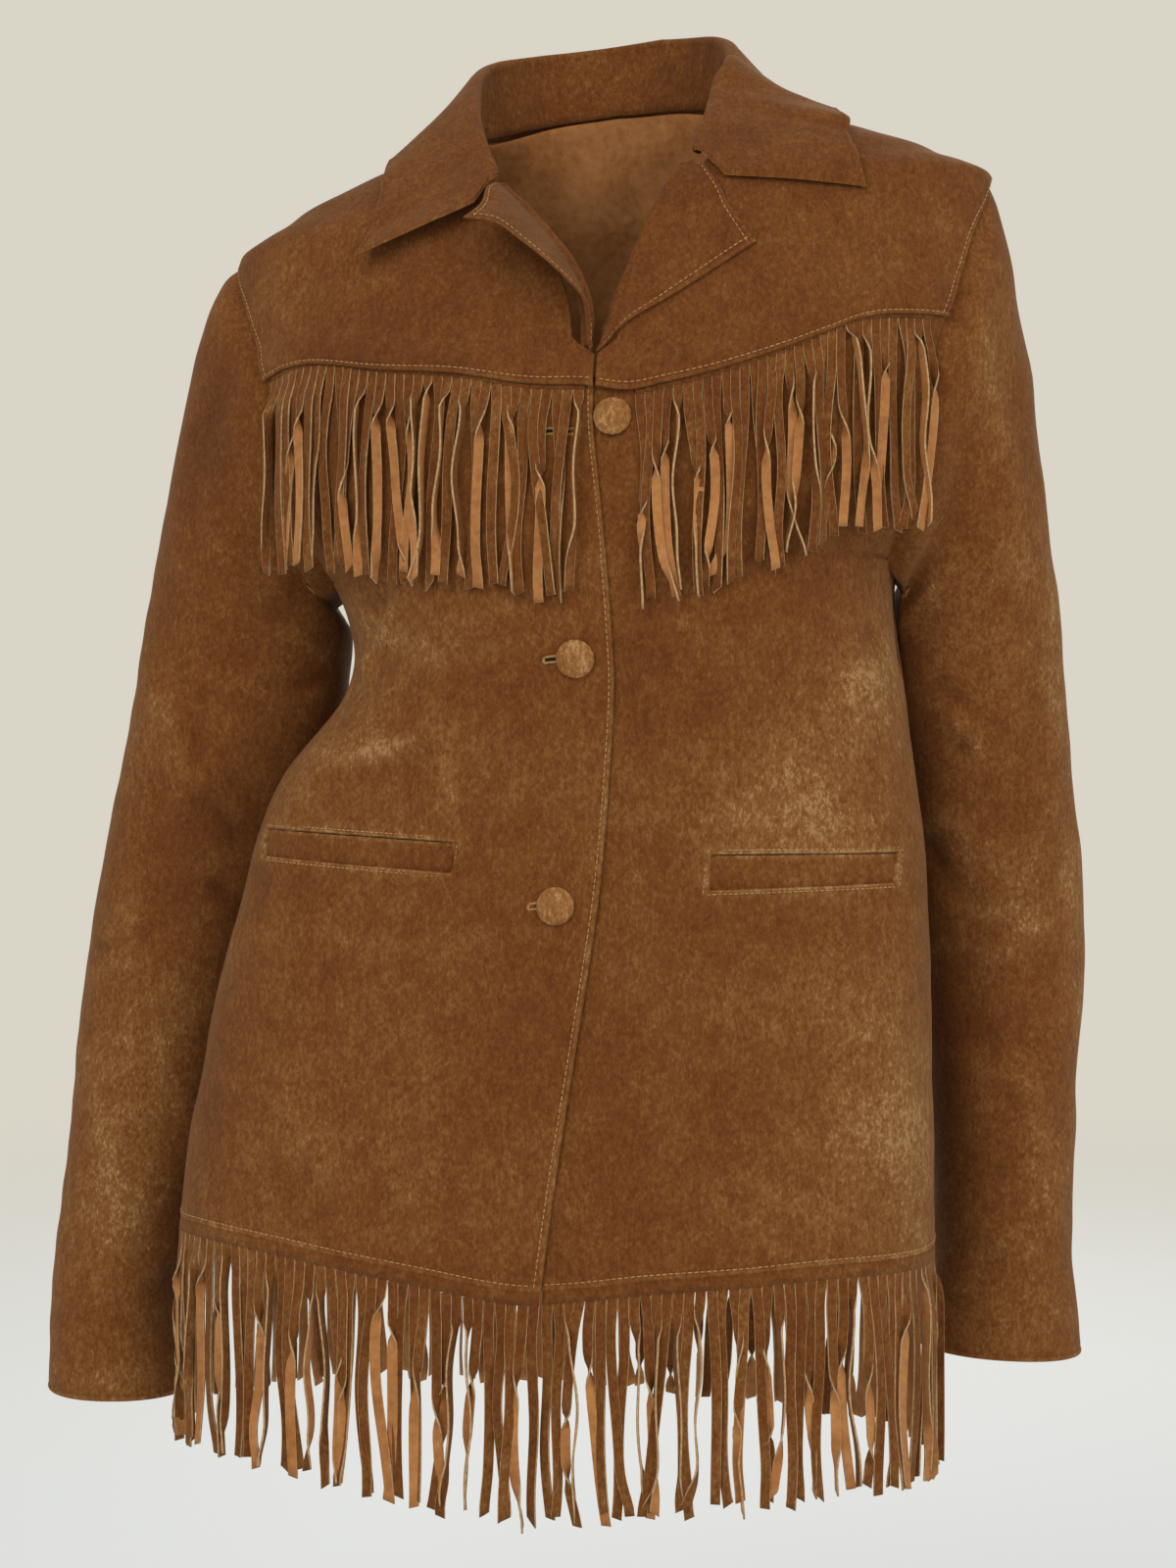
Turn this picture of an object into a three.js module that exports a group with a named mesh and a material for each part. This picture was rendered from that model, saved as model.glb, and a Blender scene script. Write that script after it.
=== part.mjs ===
// A women's suede jacket with a fringed yoke and a fringed hem, in the hollow form it has when worn.
// Millimetres, +Z up, +Y to the back, +X to the wearer's left. The origin is the middle of the neck base.
import * as THREE from 'three';
import { mergeVertices } from 'three/addons/utils/BufferGeometryUtils.js';

// Driving sizes
const WALL = 1.5;              // suede with its lining side, everywhere
const GAP = 0.35;              // air left at a seam
const TURN = THREE.MathUtils.degToRad(8.6);   // the body is turned to the wearer's right
const ROUND = 2.3;             // exponent of a body ring: 2 is an ellipse, more is boxier
const ARMPIT = -268;
const SHOULDER = -57;          // level of the shoulder point
const HEM = -655;
const UNDERLAP = -40;          // hidden edge of the front that lies below
const STRAND_THICK = 1.1;
const STRIP_HEIGHT = 7;        // uncut part of a fringe strip
const FRINGE_LENGTH = 118;
const YOKE_STRANDS = 114;
const STRAND_SHARE = 0.78;     // strand width as a share of the pitch
const STRAND_OFF = 3.4;        // a strand's middle stays this far off the cloth
const SLEEVE_OFF = 5;          // and this much farther where it hangs over the sleeve
const TUCK = 4;                // cloth tucked up beneath the yoke
const SLACK = 0.5;             // extra air beneath cloth that laps over cloth
const HALF_CHEST = 195;        // distance round the front from its middle to the side seam
const DIP = WALL + GAP + 0.8;  // the front that lies beneath sinks by this
const LAP = GAP * 2 + STRAND_THICK + WALL + SLACK;   // the yoke's edge stands off over the fringe strip
const LAY = WALL + GAP + SLACK;   // outer face of what lies on the body, above the body's own

const DEG = Math.PI / 180;
const MATERIALS = {
  suede: ['#8a5a30', 0.95],
  fringe: ['#94602f', 0.9],
  button: ['#a47848', 0.9],
};

// Reads a short table at any key, on a smooth curve through its rows. Rows rise by their first column.
function table(names, rows) {
  const columns = names.split(' ');
  const keys = rows.map((row) => row[0]);
  const slope = (i, c) => {
    const before = rows[Math.max(i - 1, 0)];
    const after = rows[Math.min(i + 1, rows.length - 1)];
    return (after[c] - before[c]) / (after[0] - before[0]);
  };
  return (key) => {
    const k = THREE.MathUtils.clamp(key, keys[0], keys[keys.length - 1]);
    let i = 0;
    while (i < rows.length - 2 && k > keys[i + 1]) i += 1;
    const span = keys[i + 1] - keys[i];
    const f = (k - keys[i]) / span;
    const read = {};
    columns.forEach((name, c) => {
      const rise = rows[i + 1][c + 1] - rows[i][c + 1];
      const a = slope(i, c + 1) * span;
      const b = slope(i + 1, c + 1) * span;
      read[name] = rows[i][c + 1] + f * (a + f * (3 * rise - 2 * a - b + f * (a + b - 2 * rise)));
    });
    return read;
  };
}

const mix = THREE.MathUtils.lerp;
const smooth = THREE.MathUtils.smoothstep;

// Body rings from hem to neck. Each row: level, middle x, half widths to image left and right, depth in
// front and behind, rise per mm to the image right, and how far each side seam stands forward.
const ring = table('middle left right front back tilt leftSide rightSide', [
  [-672, -20, 221, 221, 128, 128, -0.045, -30, -26],
  [-604, -16, 216, 216, 126, 126, -0.035, -32, -28],
  [-524, -9, 209, 208, 121, 122, -0.02, -32, -30],
  [-456, -2, 200, 199, 118, 118, -0.006, -30, -30],
  [-415, 2, 194, 192, 116, 114, 0, -26, -28],
  [-382, 5, 183, 184, 115, 110, 0.006, -22, -24],
  [-338, 9, 154, 174, 118, 108, 0.014, -12, -16],
  [-310, 10, 150, 168, 122, 110, 0.02, -4, -8],
  [-268, 11, 165, 168, 125, 116, 0.028, 0, 0],
  [-235, 11, 190, 190, 124, 119, 0.034, 0, 0],
  [-185, 11, 207, 207, 117, 118, 0.044, 0, 0],
  [-150, 10, 215, 215, 111, 112, 0.05, 0, 0],
  [-127, 10, 221, 221, 105, 106, 0.055, 0, 0],
  [-88, 9, 226, 226, 91, 91, 0.066, 0, 0],
  [-57, 9, 224, 224, 79, 79, 0.078, 0, 0],
  [-49, 9, 212, 212, 74, 75, 0.078, 0, 0],
  [-43, 9, 198, 198, 70, 72, 0.078, 0, 0],
  [-35, 9, 185, 185, 64, 70, 0.078, 0, 0],
  [-27, 9, 166, 166, 57, 68, 0.078, 0, 0],
  [-18, 9, 144, 144, 49, 66, 0.078, 0, 0],
  [-9, 8, 114, 114, 41, 65, 0.078, 0, 0],
  [0, 7, 92, 92, 34, 64, 0.078, 0, 0],
  [8, 6, 79, 79, 30, 64, 0.078, 0, 0],
  [30, 5, 72, 72, 28, 64, 0.078, 0, 0],
]);

const power = (value, exponent) => Math.sign(value) * Math.abs(value) ** exponent;

// A body point. Angle 0 is the middle front, 90 degrees the image-right side, 180 the middle back.
function body(angle, level) {
  const r = ring(level);
  const side = Math.sin(angle);
  const face = Math.cos(angle);
  const u = (side < 0 ? r.left : r.right) * power(side, 2 / ROUND);
  const forward = (side < 0 ? r.leftSide : r.rightSide) * side * side;
  const w = forward - (face > 0 ? r.front : r.back) * power(face, 2 / ROUND);
  return new THREE.Vector3(
    r.middle + u * Math.cos(TURN) + w * Math.sin(TURN),
    -u * Math.sin(TURN) + w * Math.cos(TURN),
    level + r.tilt * u,
  );
}

// The outward direction of the cloth there
function facing(angle, level) {
  const step = 0.02;
  const turnward = body(angle + step, level).sub(body(angle - step, level));
  const upward = body(angle, level + 1.5).sub(body(angle, level - 1.5));
  return turnward.cross(upward).normalize();
}

const onBody = (angle, level, lift = 0) => body(angle, level).addScaledVector(facing(angle, level), lift);

// Angle on the front half at a distance u from the body's middle
function frontAngle(u, level) {
  const r = ring(level);
  const share = Math.min(Math.abs(u) / (u < 0 ? r.left : r.right), 1);
  return Math.sign(u) * Math.asin(share ** (ROUND / 2));
}

// How far a point stands outside the body's rings, with the direction out: used to rest the collar on it
function outside(point) {
  const measure = (p) => {
    let level = p.z;
    let u = 0;
    let r;
    for (let i = 0; i < 4; i += 1) {
      r = ring(level);
      u = (p.x - r.middle) * Math.cos(TURN) - p.y * Math.sin(TURN);
      level = p.z - r.tilt * u;
    }
    const across = Math.abs(u / (u < 0 ? r.left : r.right)) ** ROUND;
    const forward = (u < 0 ? r.leftSide : r.rightSide) * Math.min(across, 1);
    const w = (p.x - r.middle) * Math.sin(TURN) + p.y * Math.cos(TURN) - forward;
    const along = Math.abs(w / (w < 0 ? r.front : r.back)) ** ROUND;
    return (across + along) ** (1 / ROUND) - 1;
  };
  const here = measure(point);
  const slopes = ['x', 'y', 'z'].map((axis) => {
    const moved = point.clone();
    moved[axis] += 0.5;
    return (measure(moved) - here) / 0.5;
  });
  const out = new THREE.Vector3(...slopes);
  const steepness = out.length();
  return { distance: here / steepness, out: out.divideScalar(steepness) };
}

function restOutside(point, clearance) {
  const p = point.clone();
  for (let i = 0; i < 8; i += 1) {
    const { distance, out } = outside(p);
    if (distance < clearance) p.addScaledVector(out, clearance - distance);
  }
  return p;
}

// Armhole: half width of the body left inside it, by level
const armhole = table('half', [
  [ARMPIT, 163], [-262, 164], [-238, 172], [-210, 178], [-185, 183], [-157, 190], [-136, 197],
  [-112, 207], [-94, 213], [-75, 220], [SHOULDER, 224],
]);
// Millimetres round the body for each radian at the side seam and at the shoulder seam
const SIDE_DEPTH = 115;
const SHOULDER_DEPTH = 45;
// Angle of the armhole or side seam on the front half; the back half mirrors it
function sideAngle(side, level) {
  if (level <= ARMPIT || level >= SHOULDER) return side * 90 * DEG;
  const r = ring(level);
  const share = Math.min(armhole(level).half / (side < 0 ? r.left : r.right), 1);
  return side * Math.asin(share ** (ROUND / 2));
}
// Panels and sleeve step up the armhole at the same shares of its height
const SLEEVE_SIDES = 20;
const holeShares = Array.from({ length: SLEEVE_SIDES / 2 + 1 }, (_, i) => (
  (1 - Math.cos((2 * Math.PI * i) / SLEEVE_SIDES)) / 2));
// The shoulder seam runs just behind the ridge
const shoulderAngle = (side, level) => side * (90 + 7 * smooth(level, SHOULDER, -49)) * DEG;

// Yoke seam by distance from the middle
const yokeSeam = table('level', [
  [-230, -143], [-197, -146], [-181, -143.5], [-171, -141.5], [-153, -142.5], [-115, -152.4],
  [-70, -160.3], [-40, -168], [-24, -171], [0, -173.2], [25, -178], [46, -175], [73, -169.5],
  [107, -159], [128, -150.5], [147, -142.5], [166, -140], [200, -139.5], [230, -139],
]);
// Closing edge of the front that laps over, by level
const closing = table('u', [
  [-672, 8.4], [-565, 16.1], [-460, 21.5], [-400, 21.2], [-322, 18.6], [-243, 11.6], [-192, 6], [-153, 7],
]);
// Neckline from the top of the closing up the roll of each lapel to the gorge, by level
const rollRight = table('u', [
  [-153, 8.5], [-120, 20.5], [-100, 28.5], [-82, 35.4], [-64, 43.4], [-53, 49.7], [-44, 55],
]);
const rollLeft = table('u', [
  [-153, 4.5], [-130, 2.4], [-117, -1], [-94, -12.4], [-64, -36], [-53, -46.5], [-44, -53],
]);
// Neck seam by angle from the gorge round to the middle back
const GORGE = 13.4;
const neckSeam = table('level', [
  [GORGE, -44], [22.8, -24], [51, -4], [97, 5], [120, 12], [150, 20], [180, 23],
]);
const NECK_POINT = 97;         // angle where the shoulder seam meets the neck seam

// Closed body from a grid of outer points and the direction in which the wall goes in
function wallBody(outer, wall, wrap = false) {
  const rows = outer.length;
  const columns = outer[0].length;
  const at = (i, j) => outer[i][wrap ? (j + columns) % columns : THREE.MathUtils.clamp(j, 0, columns - 1)];
  const inner = outer.map((row, i) => row.map((p, j) => {
    const along = at(i, j + 1).clone().sub(at(i, j - 1));
    const up = at(Math.min(i + 1, rows - 1), j).clone().sub(at(Math.max(i - 1, 0), j));
    return p.clone().addScaledVector(along.cross(up).normalize(), -wall);
  }));
  const positions = [];
  const quad = (a, b, c, d) => [a, b, c, a, c, d].forEach((p) => positions.push(p.x, p.y, p.z));
  const last = wrap ? columns : columns - 1;
  const next = (j) => (j + 1) % columns;
  for (let i = 0; i < rows - 1; i += 1) {
    for (let j = 0; j < last; j += 1) {
      const k = next(j);
      quad(outer[i][j], outer[i][k], outer[i + 1][k], outer[i + 1][j]);
      quad(inner[i][j], inner[i + 1][j], inner[i + 1][k], inner[i][k]);
    }
  }
  for (let j = 0; j < last; j += 1) {
    const k = next(j);
    quad(outer[0][j], inner[0][j], inner[0][k], outer[0][k]);
    quad(outer[rows - 1][j], outer[rows - 1][k], inner[rows - 1][k], inner[rows - 1][j]);
  }
  if (!wrap) {
    for (let i = 0; i < rows - 1; i += 1) {
      quad(outer[i][0], outer[i + 1][0], inner[i + 1][0], inner[i][0]);
      quad(outer[i][columns - 1], inner[i][columns - 1], inner[i + 1][columns - 1], outer[i + 1][columns - 1]);
    }
  }
  return closedGeometry(positions);
}

function closedGeometry(positions) {
  const loose = new THREE.BufferGeometry();
  loose.setAttribute('position', new THREE.Float32BufferAttribute(positions, 3));
  const geometry = mergeVertices(loose, 1e-4);
  geometry.computeVertexNormals();
  return geometry;
}

const jacket = new THREE.Group();
function add(name, geometry, finish = 'suede') {
  const [color, roughness] = MATERIALS[finish];
  const mesh = new THREE.Mesh(geometry, new THREE.MeshStandardMaterial({ color, roughness, metalness: 0 }));
  mesh.name = name;
  jacket.add(mesh);
}

// How far the hem stands over HEM, by distance from the middle front. It is lowest at the closing. The back
// rises only towards its sides, and the rise fades out up to the armpit.
const hemLine = table('rise', [
  [-215, 5.4], [-190, 7], [-146, 4.8], [-102, 0], [-58, -4.7], [-16, -9.6], [8, -9.6], [67, 0], [116, 5.9],
  [164, 11.7], [206, 13.3], [230, 13.5],
]);
function hemRise(angle, level) {
  const r = ring(level);
  const fade = THREE.MathUtils.clamp((ARMPIT - level) / (ARMPIT - HEM), 0, 1) ** 2;
  const across = power(Math.sin(angle), 2 / ROUND);
  const half = across < 0 ? r.left : r.right;
  if (Math.cos(angle) >= 0) return hemLine(across * half).rise * fade;
  return hemLine(Math.sign(across) * half).rise * fade * across ** 2;
}

// Evenly spaced shares from 0 to 1
const shares = (count) => Array.from({ length: count + 1 }, (_, i) => i / count);

// Front below the yoke. The left front laps over; the right one dips to lie beneath it.
const underlapDip = (u, level) => -DIP * (1 - smooth(u - closing(level).u, 6, 28));
function frontPanel(side) {
  const edge = (level) => (side < 0 ? closing(level).u : UNDERLAP);
  const top = (u) => yokeSeam(u).level + TUCK;
  const lowerRows = shares(8);
  const columns = shares(11).map((s) => s ** 0.85);
  const sideTop = top(side * HALF_CHEST);
  const yokeShare = (sideTop - ARMPIT) / (SHOULDER - ARMPIT);
  const upperRows = [...holeShares.filter((share) => share > 0 && share < yokeShare - 0.05), yokeShare]
    .map((share) => share / yokeShare);
  const point = (s, levelAt) => {
    const guess = mix(edge(HEM), side * HALF_CHEST, s);
    const level = levelAt(guess);
    const from = frontAngle(edge(level), level);
    const to = sideAngle(side, level);
    const angle = mix(from, to - (side * GAP) / SIDE_DEPTH, s);
    const dip = side > 0 ? underlapDip(distanceFromMiddle(angle, level), level) : 0;
    return onBody(angle, level + hemRise(angle, level), dip);
  };
  const order = side < 0 ? [...columns].reverse() : columns;
  const rows = [
    ...lowerRows.map((v) => order.map((s) => point(s, () => mix(HEM, ARMPIT, v)))),
    ...upperRows.map((v) => order.map((s) => point(s, (u) => mix(ARMPIT, mix(top(u), sideTop, s ** 6), v)))),
  ];
  return wallBody(rows, WALL);
}

function distanceFromMiddle(angle, level) {
  const r = ring(level);
  return (angle < 0 ? r.left : r.right) * power(Math.sin(angle), 2 / ROUND);
}

// A patch over four border curves, each giving [angle, level] for a share along it
function patch(bottom, top, left, right) {
  return (s, v) => [0, 1].map((i) => {
    const corners = mix(mix(bottom(0)[i], bottom(1)[i], s), mix(top(0)[i], top(1)[i], s), v);
    return mix(bottom(s)[i], top(s)[i], v) + mix(left(v)[i], right(v)[i], s) - corners;
  });
}

// Neckline of one side as [angle, level] for shares 0 to 1: closing edge, lapel roll, then the neck seam
const ROLL_START = -153;
const ROLL_END = -44;
const CLOSING_SHARE = 0.1;
const GORGE_SHARE = 0.62;
function neckline(side) {
  const roll = side < 0 ? rollLeft : rollRight;
  const low = yokeSeam(closing(-171).u).level;
  return (share) => {
    if (share < CLOSING_SHARE) {
      const level = mix(low, ROLL_START, share / CLOSING_SHARE);
      return [frontAngle(closing(level).u + (side > 0 ? 1.5 : 0), level), level];
    }
    if (share < GORGE_SHARE) {
      const level = mix(ROLL_START, ROLL_END, (share - CLOSING_SHARE) / (GORGE_SHARE - CLOSING_SHARE));
      return [frontAngle(roll(level).u, level), level];
    }
    const angle = mix(GORGE, NECK_POINT, (share - GORGE_SHARE) / (1 - GORGE_SHARE));
    return [side * angle * DEG, neckSeam(angle).level];
  };
}

// The shoulder seam is cut into the same steps on the yoke and the back
const YOKE_COLUMNS = 9;
const shoulderShare = (s) => s ** 0.8;

// How far the yoke stands off the body: its lower edge laps over the fringe strip
const yokeLift = (u, level) => LAP * (1 - smooth(level - yokeSeam(u).level, 7, 26));

// Yoke over the front of the shoulder. Its lower edge stands off over the fringe strip.
const ROLL_EDGE = 5;           // the yoke ends this far short of the roll, inside the fold
const NECK_EDGE = 2.3;         // and this far short of the neck seam
function yokePanel(side) {
  const inner = neckline(side);
  const seamFrom = yokeSeam(closing(-171).u).level;
  const start = frontAngle(closing(-171).u + (side > 0 ? 1.5 : 0), seamFrom);
  const bottom = (s) => {
    const end = sideAngle(side, yokeSeam(side * HALF_CHEST).level);
    const angle = mix(start, end, s);
    return [angle, yokeSeam(distanceFromMiddle(angle, seamFrom)).level];
  };
  const top = (s) => {
    const level = mix(neckSeam(NECK_POINT).level, SHOULDER, shoulderShare(s));
    return [shoulderAngle(side, level), level];
  };
  const outerEdge = (v) => {
    const level = mix(bottom(1)[1], SHOULDER, v);
    return [sideAngle(side, level), level];
  };
  const domain = patch(bottom, top, inner, outerEdge);
  const columns = shares(YOKE_COLUMNS);
  const rows = shares(12).map((v) => columns.map((s) => {
    const [angle, level] = domain(s, v);
    const p = onBody(angle, level, yokeLift(distanceFromMiddle(angle, level), level));
    if (s === 0 && v > CLOSING_SHARE) {
      const back = v < GORGE_SHARE ? ROLL_EDGE : NECK_EDGE;
      p.addScaledVector(onBody(...domain(0.1, v)).sub(p).normalize(), back);
    }
    return p;
  }));
  return wallBody(side < 0 ? rows.map((row) => [...row].reverse()) : rows, WALL);
}

// Back in one piece from the hem to the neck
const SEAM_SHIFT = 0.8;        // the back's edges lie this far behind the seam
function backPanel() {
  const columns = shares(18);
  const seam = (side, level) => {
    const angle = level >= SHOULDER ? shoulderAngle(side, level) : 180 * DEG * side - sideAngle(side, level);
    return angle + (side * SEAM_SHIFT) / (level >= SHOULDER ? SHOULDER_DEPTH : SIDE_DEPTH);
  };
  const levels = [
    ...shares(8).map((v) => mix(HEM, ARMPIT, v)),
    ...holeShares.slice(1).map((v) => mix(ARMPIT, SHOULDER, v)),
    ...shares(YOKE_COLUMNS).reverse().slice(1).map((s) => 1 - shoulderShare(s)),
  ];
  const neckLevel = (angle) => neckSeam(Math.abs(angle) / DEG).level - 0.5;
  const rows = levels.map((value) => columns.map((s) => {
    if (value < -1) {
      const right = seam(1, value);
      const left = 360 * DEG + seam(-1, value);
      const angle = mix(right, left, s);
      return onBody(angle, value + hemRise(angle, value));
    }
    const across = Math.abs(2 * s - 1);
    const ridge = mix(SHOULDER, neckSeam(NECK_POINT).level - 0.5, value);
    const right = seam(1, ridge);
    const left = 360 * DEG + seam(-1, ridge);
    const angle = mix(right, left, s);
    const middle = mix(SHOULDER, neckLevel(Math.min(angle, 360 * DEG - angle)), value);
    return onBody(angle, mix(middle, ridge, across ** 3));
  }));
  return wallBody(rows, WALL);
}

// Sleeves: rings fan out from the armpit. Each row: outer x, z, inner x, z, middle y, half depth.
const SLEEVE = {
  left: [
    [-223, -97, -158, -277, 36, 62], [-241, -140, -157, -283, 38, 59], [-257, -211, -153, -291, 42, 57],
    [-271, -283, -150, -305, 48, 55], [-285, -355, -158, -360, 55, 54], [-299, -426, -178, -424, 62, 52],
    [-309, -474, -196, -470, 66, 51], [-315, -522, -208, -510, 66, 50], [-319, -570, -219, -560, 62, 49],
    [-324, -641, -241, -641, 52, 47], [-328, -700, -254, -702, 42, 46], [-329, -754, -244, -755, 34, 45],
  ],
  right: [
    [232, -84, 178, -276, -20, 62], [245, -120, 177, -282, -14, 59], [264, -216, 173, -291, -4, 56],
    [274, -286, 172, -306, 6, 54], [283, -356, 180, -366, 18, 53], [292, -425, 190, -430, 30, 51],
    [296, -472, 196, -476, 36, 50], [294, -518, 199, -520, 34, 49], [290, -565, 203, -566, 28, 48],
    [287, -634, 208, -638, 24, 46], [287, -681, 206, -682, 21, 44], [291, -730, 195, -725, 19, 43],
  ],
};
const HOLE_GAP = 1.6;          // air between the armhole and the sleeve's head
const SLEEVE_CLEAR = 3.4;      // and between the rest of the sleeve and the body
const HOLE_HOLD = [0.55, 0.2]; // share of the armhole's own shape in the first two sections
const HEAD_STEP = { x: 9, z: -12 };
function sleeve(side) {
  const rows = SLEEVE[side < 0 ? 'left' : 'right'];
  const turns = Array.from({ length: SLEEVE_SIDES }, (_, i) => (360 * DEG * i) / SLEEVE_SIDES);
  const hole = turns.map((turn) => {
    const level = mix(ARMPIT, SHOULDER, (1 + Math.cos(turn)) / 2);
    const front = sideAngle(side, level);
    const angle = turn <= 180 * DEG ? front : side * 180 * DEG - front;
    const p = onBody(angle, level);
    return p.addScaledVector(new THREE.Vector3(side * Math.cos(TURN), -side * Math.sin(TURN), 0), HOLE_GAP);
  });
  const sections = rows.map(([ox, oz, ix, iz, y, depth]) => turns.map((turn) => {
    const across = (1 + power(Math.cos(turn), 0.92)) / 2;
    return new THREE.Vector3(mix(ix, ox, across), y - depth * power(Math.sin(turn), 0.92), mix(iz, oz, across));
  }));
  const eased = sections.map((section, i) => section.map((p, j) => {
    const hold = HOLE_HOLD[i] ?? 0;
    const step = new THREE.Vector3(side * HEAD_STEP.x, 0, HEAD_STEP.z).multiplyScalar(i + 1);
    const carried = hole[j].clone().add(step);
    return restOutside(p.clone().lerp(carried, hold), SLEEVE_CLEAR);
  }));
  const outer = [hole, ...eased];
  return wallBody(side < 0 ? outer : outer.map((row) => [...row].reverse()), WALL, true);
}

// Lapels: the facing comes from inside, rolls over the yoke's edge and turns back on it. Each table gives
// the free edge from the closing up to the tip, then the top edge from the gorge to the tip.
const LAPEL = {
  left: {
    edge: [
      [0, 1.8, -112, -154.5], [0.08, 7, -113, -149], [0.2, 13.1, -110, -142.5], [0.3, 20.6, -109, -136.5],
      [0.5, 40, -107, -125.6], [0.7, 59.7, -103, -113.6], [0.88, 77.4, -99, -101.9], [1, 89.3, -96, -93.8],
    ],
    top: [
      [0, 57, -73, -41], [0.3, 69, -84, -57.5], [0.5, 75, -88, -71.5], [0.8, 83.5, -93, -84.6],
      [1, 89.3, -96, -93.8],
    ],
  },
  right: {
    edge: [
      [0, -1.5, -114, -154], [0.15, -2, -119, -136.4], [0.28, -5.1, -125, -126.6], [0.4, -12, -128, -119.3],
      [0.55, -25.2, -128, -107], [0.7, -39.1, -124, -95.6], [0.85, -54.2, -118, -84.1], [1, -72, -112, -80],
    ],
    top: [
      [0, -55, -70, -50], [0.35, -60, -84, -56], [0.7, -63, -98, -68.5], [1, -72, -112, -80],
    ],
  },
};
const FOLD = 3.1;              // outer radius of a turned edge
const FACING = 5;              // the facing goes on this far behind the roll
const ROLL_FROM = { left: 0.15, right: 0.112 };   // shares of the neckline where the roll starts and ends
const ROLL_TO = GORGE_SHARE - 0.012;
function lapel(side) {
  const { edge, top } = LAPEL[side < 0 ? 'right' : 'left'];
  const edgeAt = table('x y z', edge);
  const topAt = table('x y z', top);
  const point = ({ x, y, z }) => new THREE.Vector3(x, y, z);
  const line = neckline(side);
  const from = side < 0 ? ROLL_FROM.right : ROLL_FROM.left;
  const rollAt = (v) => line(mix(from, ROLL_TO, v));
  const rows = shares(10).map((v) => {
    const [angle, level] = rollAt(v);
    const [angle2, level2] = rollAt(Math.min(v + 0.02, 1));
    const [angle0, level0] = rollAt(Math.max(v - 0.02, 0));
    const along = onBody(angle2, level2).sub(onBody(angle0, level0)).normalize();
    const out = facing(angle, level);
    const open = out.clone().cross(along).multiplyScalar(side).normalize();
    const lift = yokeLift(distanceFromMiddle(angle, level), level);
    const axis = onBody(angle, level, lift - WALL / 2);
    const around = (turn) => axis.clone()
      .addScaledVector(open, Math.cos(turn) * FOLD).addScaledVector(out, Math.sin(turn) * FOLD);
    const inside = around(-90 * DEG).addScaledVector(open, -FACING);
    const roll = [inside, around(-90 * DEG), around(-35 * DEG), around(20 * DEG), around(70 * DEG)];
    const start = around(90 * DEG);
    const leaf = [0.18, 0.4, 0.7, 1].map((s) => {
      const low = start.clone().lerp(point(edgeAt(v)), s);
      const bow = point(topAt(s)).sub(start.clone().lerp(point(topAt(1)), s)).multiplyScalar(v ** 3);
      const p = low.add(bow);
      return restOutside(p, LAY + yokeLift(p.x, p.z));
    });
    return [...roll, ...leaf];
  });
  return wallBody(side > 0 ? rows : rows.map((row) => [...row].reverse()), WALL);
}

// Collar in one folded wall, from the image-right gorge round the neck to the other one. Each row: share
// of the way round, then a point of the roll and a point of the outer edge.
const collarLine = table('rx ry rz ex ey ez', [
  [0, 57, -74, -38, 150, -84, -61], [0.1, 66, -47, -4, 141, -58, -35], [0.2, 71, -10, 36, 134, -12, -4],
  [0.3, 63, 25, 62, 118, 45, 12], [0.4, 42, 60, 70, 75, 100, 20], [0.5, 14, 76, 70, 18, 112, 8],
  [0.6, -30, 70, 63, -62, 106, -2], [0.7, -58, 48, 52, -108, 62, -16], [0.8, -70, 18, 34, -116, 15, -22],
  [0.9, -67, -30, -6, -121, -37, -57], [1, -55, -68, -47, -136, -70, -93],
]);
const COLLAR_FOLD = 3.4;
const NOTCH_AT = 0.2;          // share of the leaf's end where its edge leaves the notch
const NOTCH_HOLD = 0.85;
const NOTCH = { right: new THREE.Vector3(72, -86, -55.5), left: new THREE.Vector3(-66, -82, -66) };
function collar() {
  const rows = shares(26).map((s) => {
    const line = collarLine(s);
    const degrees = mix(GORGE + 2, 360 - GORGE - 2, s);
    const angle = degrees * DEG;
    const folded = degrees > 180 ? 360 - degrees : degrees;
    const seamAt = (d) => onBody(d * DEG, neckSeam(d > 180 ? 360 - d : d).level);
    const along = seamAt(degrees + 1).sub(seamAt(degrees - 1)).normalize();
    const out = facing(angle, neckSeam(folded).level);
    const hole = out.clone().cross(along).normalize();
    const foot = seamAt(degrees).addScaledVector(hole, 0.6).addScaledVector(out, -WALL);
    const roll = restOutside(new THREE.Vector3(line.rx, line.ry, line.rz), COLLAR_FOLD + 0.4);
    const edge = restOutside(new THREE.Vector3(line.ex, line.ey, line.ez), LAY);
    const toFoot = foot.clone().sub(roll);
    const toEdge = edge.clone().sub(roll);
    const radius = Math.min(COLLAR_FOLD, toFoot.length() * 0.4);
    const bisector = toFoot.clone().normalize().add(toEdge.clone().normalize()).normalize();
    const sideways = toEdge.clone().addScaledVector(bisector, -toEdge.dot(bisector)).normalize();
    const turn = (along2, across) => roll.clone()
      .addScaledVector(bisector, along2 * radius).addScaledVector(sideways, across * radius);
    const standTop = turn(1.1, -1);
    const leafTop = turn(1.1, 1);
    const stand = [foot, foot.clone().lerp(standTop, 0.5), standTop, turn(0.3, -0.72)];
    const endShare = Math.max(0, 1 - Math.min(s, 1 - s) / 0.06);
    const notch = s < 0.5 ? NOTCH.right : NOTCH.left;
    const leaf = [0.2, 0.45, 0.75, 1].map((f) => {
      const end = f > NOTCH_AT ? notch.clone().lerp(edge, (f - NOTCH_AT) / (1 - NOTCH_AT)) : notch;
      return restOutside(leafTop.clone().lerp(edge, f).lerp(end, endShare * NOTCH_HOLD), LAY);
    });
    return [...stand, roll, turn(0.3, 0.72), leafTop, ...leaf];
  });
  return wallBody(rows.map((row) => [...row].reverse()), WALL);
}

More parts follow.
